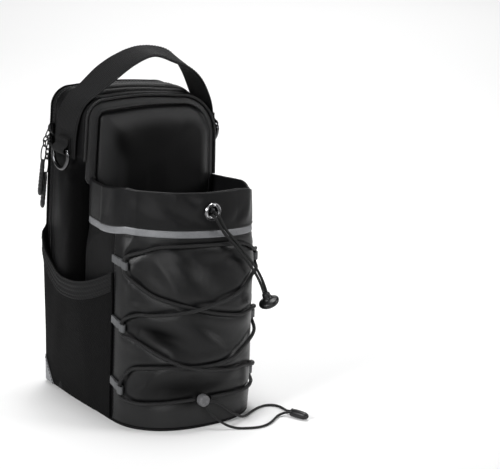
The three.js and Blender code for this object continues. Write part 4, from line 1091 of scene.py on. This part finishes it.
# taut cord: it lies on the high places of the folds and spans the low ones
def bungeeLine():
    a, z, lift = bungeeRoute[:, 0] / clothScale, bungeeRoute[:, 1], bungeeRoute[:, 2]
    rise = frontRise(a, z, True)
    crest = np.array([rise[max(0, k - 5) : k + 6].max() for k in range(len(rise))])
    bell = np.hanning(17)
    crest = np.convolve(np.pad(crest, 8, mode="edge"), bell / bell.sum(), "valid")
    return pocketPoint(a, z, lift + crest - rise, True)


def makeLacing():
    for label, side in (("left", -1), ("right", 1)):
        for row in range(3):
            addLoop(f"cordLoop.{label}.{row + 1}", side, row, f"cord_loop_{label}_{row + 1}")
    s = lockSet
    seat, axis = pocketPoint(s["around"], s["z"]), pocketNormal(s["around"], s["z"])
    addTube("bungeeCord", bungeeLine(), bungeeSet["radius"], bungeeSet["sides"], cordBraid,
            ["bungee_cord"])
    profile = softened(s["profile"], 1)
    addTurned("cordLock", profile, 40, seat, axis, greyPlastic, ["cord_lock"])


def makePocket():
    s = pocketSet
    t = np.linspace(-1, 1, 221)
    across = (s["seam"] - 0.0008) * (0.25 * np.sin(t * np.pi / 2) + 0.75 * t)
    top = s["stripLow"] - s["gap"]
    a, z = np.meshgrid(across, np.linspace(s["foot"], top, 170))
    dent = cordDent(a, z)
    pocketSheet("pocketFront", a, z, dent, dent - s["wall"], glossCloth, "satin_cloth", "pocket_front",
                shade=frontShade(a, z))
    for label, side in (("left", -1), ("right", 1)):
        a, z = np.meshgrid(side * np.linspace(s["seam"] + 0.0012, 1, 60), np.linspace(s["foot"], top, 60))
        pocketSheet(f"pocketSide.{label}", a, z, 0.0, -s["wall"], shellCloth, "shell_cloth",
                    f"pocket_side_{label}")


# all round the rim, closer together at the front
def rimSteps():
    seam = pocketSet["seam"]
    left = np.linspace(-1, -seam, 40, endpoint=False)
    return np.concatenate([left, np.linspace(-seam, seam, 200, endpoint=False), np.linspace(seam, 1, 41)])


def makeStrip():
    s = pocketSet
    a, z = np.meshgrid(rimSteps(), np.linspace(s["stripLow"], s["stripHigh"], 9))
    fromMiddle = (2 * z - s["stripLow"] - s["stripHigh"]) / (s["stripHigh"] - s["stripLow"])
    face = pocketPoint(a, z, s["stripProud"] * (1 - 0.6 * fromMiddle**6), True)
    back = pocketPoint(a, z, s["stripBack"], True)
    addSheet("reflectiveStrip", face, back, reflectiveTape, "reflective_tape", ["reflective_strip"])


def makeCollar():
    s, e, lip = pocketSet, eyeletSet, collarSet["lip"]
    seat, axis = pocketPoint(e["around"], e["z"]), pocketNormal(e["around"], e["z"])

    def inHole(place):
        off = place - seat
        return abs(off @ axis) < e["deep"] and np.linalg.norm(off - axis * (off @ axis)) < e["hole"]

    plain = np.linspace(s["stripHigh"] + s["gap"], s["rim"] - 2, 44)
    rounded = s["rim"] - 2 + 2 * np.sin(np.linspace(0, 1, 8)[1:] * np.pi / 2)
    a, z = np.meshgrid(rimSteps(), np.append(plain, rounded))
    out = collarOut(a, z)
    roll = lip - np.sqrt(np.maximum(lip**2 - np.maximum(z - s["rim"] + lip, 0) ** 2, 0))
    pocketSheet("pocketCollar", a, z, out - roll, out - s["collarWall"] + roll, collarCloth, "satin_cloth",
                "pocket_collar", inHole)
    addTurned("drawcordEyelet", e["profile"], 64, seat, axis, nickel, ["drawcord_eyelet"],
              ring=True)
    addTurned("drawcordEyeletWasher", e["washer"], 48, seat, axis, nickel, ring=True)


# above the strip, along the two seams and below the strip
def makePocketStitches():
    s = pocketSet
    around = np.linspace(-0.985, 0.985, 260)
    level = np.full(260, s["stripHigh"] + 2.2)
    rows = [(pocketPoint(around, level, collarOut(around, level), True), pocketNormal(around, level))]
    heights = np.linspace(8, s["stripLow"] - 3, 90)
    for seam in (-0.581, 0.581):
        rows.append((pocketPoint(seam, heights, 0.0, True), pocketNormal(np.full(90, seam), heights)))
    around = np.linspace(-0.57, 0.57, 200)
    level = np.full(200, s["stripLow"] - 2.4)
    rows.append((pocketPoint(around, level, 0.0, True), pocketNormal(around, level)))
    addStitches("pocketStitches", rows)


# base with a rolled edge under the case and the pocket
baseSet = {"thick": 3, "roll": 1.4, "steps": 6, "centre": (0, -4)}


def makeBase():
    s = baseSet
    x, y, _ = pocketPlan(np.linspace(-pocketSet["seam"], pocketSet["seam"], 121), np.zeros(121))
    half, back = pocketTable["half"][0], caseSet["backY"]
    sides = np.linspace(0, 1, 30)[1:]
    right = np.column_stack([np.full(29, half), lerp(y[-1], back, sides)])
    rear = np.column_stack([lerp(half, -half, np.linspace(0, 1, 40)[1:]), np.full(39, back)])
    left = np.column_stack([np.full(28, -half), lerp(back, y[0], sides[:-1])])
    outline = np.concatenate([np.column_stack([x, y]), right, rear, left])
    inward = unit(np.array(s["centre"]) - outline)
    rings = []
    for turn in np.linspace(-np.pi / 2, np.pi / 2, s["steps"] * 2 + 1):
        ring = outline + inward * s["roll"] * (1 - math.cos(turn))
        rings.append(np.column_stack([ring, np.full(len(ring), s["thick"] / 2 * (1 + math.sin(turn)))]))
    uv = np.concatenate(rings)[:, :2]
    addLoft("basePanel", rings, shellCloth, ["base_panel"], uv=uv)


makePocket()
makeStrip()
makeCollar()
makePocketStitches()
makeBase()
print("bottle pocket made")
makeLacing()
print("lacing made")


# mesh side pockets with their hems and corner patches

meshSet = {"wall": 1.2, "sewn": 1.5, "bulge": 7.5, "flare": 3.5, "backY": 91, "dip": 124, "dipAt": 0.62,
           "frontRise": 25, "backRise": 28, "corner": 12, "long": 126, "lift": 0.3, "hem": 18, "hemOver": 0.6,
           "hemWall": 1, "hemStitches": (2.4, 16, 13.4), "patchFrom": 0.83, "patchHigh": 30,
           "patchThick": 0.7}
# slack folds of the netting, placed back from the seam
meshFolds = [
    fold(40, 60, 50, 12, 8, 0.8),
    fold(78, 76, 52, 14, -7, -0.9),
    fold(100, 50, 36, 10, -14, 0.8),
]


def meshRim(t):
    s = meshSet
    front = s["dip"] + s["frontRise"] * ((s["dipAt"] - t) / s["dipAt"]) ** 2
    back = s["dip"] + s["backRise"] * ((t - s["dipAt"]) / (1 - s["dipAt"])) ** 2
    return np.where(t < s["dipAt"], front, back + s["corner"] * smoothstep(t, 0.9, 1))


def meshPoint(side, t, z, out):
    s = meshSet
    rise = (z - caseSet["foot"]) / (meshRim(t) - caseSet["foot"])
    backing = lerp(pocketRow(z)["half"], sideX(z), t)
    belly = s["bulge"] * np.sin(np.pi * t) ** 0.8 * (0.4 + 0.6 * rise)
    flare = s["flare"] * smoothstep(t, 0.78, 1) * rise**2
    slack = np.sin(np.pi * t) * foldHeight(meshFolds, t * s["long"], z)
    wrapped = (s["sewn"] + s["flare"] + 1) * smoothstep(t, 0.965, 1)
    x = backing + s["sewn"] + belly + flare + slack - wrapped + out
    return np.stack([side * x, lerp(pocketSet["seamY"] + 0.5, s["backY"], t), z], axis=-1)


def meshSheet(name, side, t, low, high, rows, outer, inner, material, slotName, node):
    z = lerp(low, high, np.linspace(0, 1, rows)[:, None])
    station = np.broadcast_to(t, z.shape)
    face = meshPoint(side, station, z, outer)
    piece = addSheet(name, face, meshPoint(side, station, z, inner), material, slotName, [node])


def makeMeshPocket(label, side):
    s = meshSet
    foot, lift = caseSet["foot"], s["lift"]
    t = np.linspace(0, 1, 110)
    rim = meshRim(t)
    meshSheet(f"meshPocket.{label}", side, t, foot, rim, 80, 0.0, -s["wall"], meshCloth, "mesh_cloth",
              f"mesh_pocket_{label}")
    meshSheet(f"meshHem.{label}", side, t, rim - s["hem"], rim + s["hemOver"], 12, lift + s["hemWall"], lift,
              hemBinding, "webbing", f"mesh_hem_{label}")
    patch = np.linspace(s["patchFrom"], 1, 30)
    patchTop = foot + 1 + s["patchHigh"] * (patch - s["patchFrom"]) / (1 - s["patchFrom"])
    meshSheet(f"cornerPatch.{label}", side, patch, foot, patchTop, 14, lift + s["patchThick"], lift,
              reflectiveTape, "reflective_tape", f"corner_patch_{label}")
    rows = [(meshPoint(side, t, rim - down, 1.35), (side, 0, 0)) for down in s["hemStitches"]]
    rows.append((meshPoint(side, patch, patchTop - 1.6, 1.05), (side, 0, 0)))
    addStitches(f"meshStitches.{label}", rows)


for label, side in (("left", -1), ("right", 1)):
    makeMeshPocket(label, side)
print("side pockets made")


# carry handle, ring tabs and D-rings

handleSet = {"width": 39, "thick": 2.2, "stitchIn": 2.2, "boxIn": 2.4, "run": [
    (-77.9, 54, 243), (-78, 53, 262), (-77, 50, 280), (-72, 47, 296), (-57, 46, 308), (-38, 46, 322),
    (-18, 46, 333.2), (4, 46, 339.5), (27, 46, 335), (44, 46, 328), (57, 46, 315), (66.5, 47, 299.5),
    (74, 49, 283), (77.6, 52, 264), (77.9, 54, 246)],
    "tilt": [(-62, 0), (-38, 0.13), (-18, 0.07), (4, 0.03), (27, 0.25), (44, 0.27), (57, 0.1), (66, 0)]}
ringSet = {"wire": 2, "half": 14.5, "drop": 19, "x": 83.6, "places": [
    {"label": "left", "side": -1, "y": 52, "z": 250}, {"label": "right", "side": 1, "y": 48, "z": 262}]}
tabSet = {"width": 22, "thick": 1.5, "inner": 80.3, "outer": 82.1, "high": 12, "wrap": 3.5}


# direction away from the bag at each point of a strap that runs from side to side
def strapOut(line):
    tangent = unit(np.gradient(line, axis=0))
    return np.column_stack([-tangent[:, 2], 0 * tangent[:, 0], tangent[:, 0]])


# flat webbing along a line, with rounded selvedges, its front edge tilted down
def addRibbon(name, line, width, thick, replaces, tilt=0.0):
    out = unit(strapOut(line))
    across = np.linspace(-1, 1, 25)
    thin = thick / 2 * (1 - 0.75 * smoothstep(np.abs(across), 0.93, 1.0))
    flat = np.zeros(len(line))
    wide = np.column_stack([flat, flat + 1, flat + tilt]) * width / 2
    grids = []
    for sign in (1, -1):
        grids.append(np.array([line + out * sign * h + a * wide for a, h in zip(across, thin)]))
    return addSheet(name, *grids, webbing, "webbing", replaces)


def makeHandle():
    s = handleSet
    line = evenly(smoothLine(s["run"], 12), 2.2)
    # it leans a little to the front over the top
    bell = np.hanning(13)
    tilt = np.pad(np.interp(line[:, 0], *np.array(s["tilt"]).T), 6, mode="edge")
    tilt = np.convolve(tilt, bell / bell.sum(), "valid")
    addRibbon("carryHandle", line, s["width"], s["thick"], ["carry_handle"], tilt)
    out = strapOut(line)
    face = line + out * (s["thick"] / 2 + 0.05)
    slope = np.column_stack([0 * tilt, 0 * tilt + 1, tilt])
    edge = s["width"] / 2 - s["stitchIn"]
    rows = [(face + y * slope, out) for y in (-edge, edge)]
    # sewn box at each end
    span = np.linspace(-1, 1, 20)[:, None] * np.array([0, s["width"] / 2 - s["boxIn"], 0])
    for k in (2, 11, -12, -3):
        rows.append((face[k] + span, (np.sign(face[k][0]), 0, 0)))
    addStitches("handleStitches", rows)


def makeRing(label, side, y, z):
    s, t = ringSet, tabSet
    bar = [(0, along, 0) for along in (-11, -5.5, 0, 5.5, 11)]
    turns = np.linspace(0, np.pi, 9)
    arc = [(0, s["half"] * math.cos(turn), -4 - (s["drop"] - 4) * math.sin(turn)) for turn in turns]
    path = bar + [(0, s["half"] - 0.6, -1.6)] + arc + [(0, 0.6 - s["half"], -1.6)]
    line = smoothLine(path, 7, closed=True) + np.array([side * s["x"], y, z])
    addTube(f"dRing.{label}", line, s["wire"], 16, gunmetal, [f"d_ring_{label}"], closed=True,
            body=f"{label}_ring")
    # tab: down the inside, round the bar and up again
    turns = np.radians(np.linspace(170, 430, 16))
    run = [(t["inner"], z + t["high"]), (t["inner"], z + 9), (t["inner"], z + 5.4)]
    run += [(s["x"] + t["wrap"] * math.cos(turn), z + t["wrap"] * math.sin(turn)) for turn in turns]
    run += [(t["outer"] + 0.3, z + 6.2), (t["outer"], z + 9), (t["outer"], z + t["high"] - 0.6)]
    line = evenly(smoothLine([(side * x, y, h) for x, h in run], 6), 0.9)
    addRibbon(f"ringTab.{label}", line, t["width"], t["thick"], [f"ring_tab_{label}"])
    x = np.full(16, side * (t["outer"] + t["thick"] / 2))
    span = y + np.linspace(-1, 1, 16) * (t["width"] / 2 - 2)
    heights = (z + 7.6, z + t["high"] - 2.2)
    rows = [(np.column_stack([x, span, np.full(16, h)]), (side, 0, 0)) for h in heights]
    addStitches(f"ringTabStitches.{label}", rows)


makeHandle()
for place in ringSet["places"]:
    makeRing(**place)
print("handle and rings made")


# zip sliders at the left, each with its bail, link and tab

sliderSet = {"y": 84.85, "out": 0.1, "thick": 2.4, "wide": 7.6, "long": 10, "under": 1.7, "bridge": 0.9,
             "wire": 0.6, "wireSides": 10, "places": [{"z": 250, "lean": 1}, {"z": 263, "lean": 4.4}],
             "layers": [(0, 0.9), (0.3, 1), (1.0, 1), (1.15, 0.84), (1.35, 0.84), (1.5, 1), (2.1, 1),
                        (2.4, 0.9)]}
# links by top, bottom and half width, then the tab they hold
pullSet = {"links": [(0.4, 9, 2.8), (7.6, 13.6, 2), (12.2, 18.2, 2), (16.8, 33, 2.6)],
           "from": 31, "to": 68, "middle": 49.5, "half": 18.6, "gripFrom": 40, "gripTo": 62,
           "narrow": 2.9, "broad": 3.5, "deep": 1.35, "groove": 0.3, "square": 0.45}


def addSlider(number, z):
    s = sliderSet
    inner = -(sideX(z) + s["out"])
    w, l = s["wide"] / 2, s["long"] / 2
    corners = [(-w, -l), (0, -l * 0.9), (w, -l), (w, l * 0.3), (w * 0.45, l), (-w * 0.45, l), (-w, l * 0.3)]
    outline = smoothLine([(across, along, 0) for across, along in corners], 6, closed=True)
    rings = []
    for depth, grow in s["layers"]:
        x = np.full(len(outline), inner - depth)
        rings.append(np.column_stack([x, s["y"] + outline[:, 0] * grow, z + outline[:, 1] * grow]))
    addLoft(f"zipSlider.{number}", rings, blackMetal, [f"zip_slider_{number}"])
    face = inner - s["thick"]
    high = s["under"] + s["bridge"] / 2
    half = [(-0.3, 3), (high * 0.7, 3), (high, 1.8)]
    bail = [(face - up, s["y"], z - off) for up, off in half]
    bail += [(face - up, s["y"], z + off) for up, off in half[::-1]]
    addTube(f"zipBail.{number}", smoothLine(bail, 6), s["wire"], s["wireSides"], blackMetal)


def addPull(number, z, lean):
    s, p = sliderSet, pullSet
    start = -(sideX(z) + s["out"] + s["thick"] + s["under"] / 2)

    def at(down, half, off=0.0):
        swing = lean * smoothstep(down, 0, 14) + down * 0.05
        return np.array([start - swing - off, s["y"] + half + down * 0.06, z - down])

    def squared(value, power):
        return np.sign(value) * np.abs(value) ** power

    # chain of links turned alternately, the last one long
    turns = np.linspace(0, 2 * np.pi, 28, endpoint=False)
    for k, (top, bottom, half) in enumerate(p["links"]):
        down = lerp(top, bottom, 0.5 - 0.5 * np.cos(turns))
        wide = half * squared(np.sin(turns), 0.7)
        link = smoothLine([at(d, 0, w) if k % 2 else at(d, w) for d, w in zip(down, wide)], 2, closed=True)
        addTube(f"zipLink.{number}.{k + 1}", link, s["wire"], s["wireSides"], blackMetal,
                closed=True)
    # moulded tab with grip grooves
    turns = np.linspace(0, 2 * np.pi, 20, endpoint=False)
    rings = []
    for down in np.linspace(p["from"], p["to"], 60):
        end = min(1, math.sqrt(max(0.02, 1 - (abs(down - p["middle"]) / p["half"]) ** 8)))
        wide = lerp(p["narrow"], p["broad"], (down - p["from"]) / (p["to"] - p["from"])) * end
        grooved = math.sin(down * 1.6) > 0.3 and p["gripFrom"] < down < p["gripTo"]
        deep = (p["deep"] - p["groove"] * grooved) * end
        ring = squared(np.column_stack([np.cos(turns), np.sin(turns)]), p["square"]) * (wide, deep)
        rings.append([at(down, across, off) for across, off in ring])
    addLoft(f"zipPull.{number}", rings, blackPlastic, [f"zip_pull_{number}"])


for number, place in enumerate(sliderSet["places"], 1):
    addSlider(number, place["z"])
    addPull(number, place["z"], place["lean"])
print("zip sliders made")


# floor and light

floorSet = {"size": 12.0, "color": (0.9, 0.9, 0.9)}
lightSet = [
    {"name": "keyLight", "place": (-1.7, -0.3, 1.0), "aim": (0, 0, 0.16),
     "size": 0.7, "power": 2.8, "spread": 50},
    {"name": "sideLight", "place": (1.5, -1.1, 0.95), "aim": (0, 0, 0.18),
     "size": 0.8, "power": 1.25, "spread": 45},
    {"name": "topLight", "place": (0.25, 0.35, 2.4), "aim": (0.3, 0.45, 0),
     "size": 1.0, "power": 8, "spread": 70},
    {"name": "backLight", "place": (1.5, 1.9, 3.4), "aim": (1.5, 1.88, 0),
     "size": 1.6, "power": 26, "spread": 80},
    {"name": "backdropLight", "place": (1.6, 2.3, 0.85), "aim": (0, 0, 0.3),
     "size": 1.5, "power": 1.2, "spread": 50},
    {"name": "fillLight", "place": (-0.85, -2.1, 0.6), "aim": (0, 0, 0.15),
     "size": 1.1, "power": 1.25, "spread": 40},
]
worldSet = {"color": (1, 1, 1), "strength": 0.06}


def makeStage():
    s = floorSet
    half = s["size"] / 2
    mesh = bpy.data.meshes.new("floor")
    corners = [(-half, -half, 0), (half, -half, 0), (half, half, 0), (-half, half, 0)]
    mesh.from_pydata(corners, [], [(0, 1, 2, 3)])
    floor = bpy.data.objects.new("floor", mesh)
    bpy.context.collection.objects.link(floor)
    mesh.materials.append(newMaterial("paleFloor", s["color"], 0.85, specular=0.2)[0])
    world = bpy.data.worlds.new("studio")
    world.use_nodes = True
    world.node_tree.nodes["Background"].inputs[0].default_value = (*worldSet["color"], 1)
    world.node_tree.nodes["Background"].inputs[1].default_value = worldSet["strength"]
    bpy.context.scene.world = world
    for light in lightSet:
        lamp = bpy.data.lights.new(light["name"], "AREA")
        lamp.size = light["size"]
        lamp.energy = light["power"]
        lamp.spread = math.radians(light["spread"])
        aim = unit(np.array(light["aim"]) - np.array(light["place"]))
        right = unit(np.cross(aim, [0, 0, 1.0]))
        stand(light["name"], lamp, light["place"], right, np.cross(right, aim), aim)


makeStage()
print("stage made")
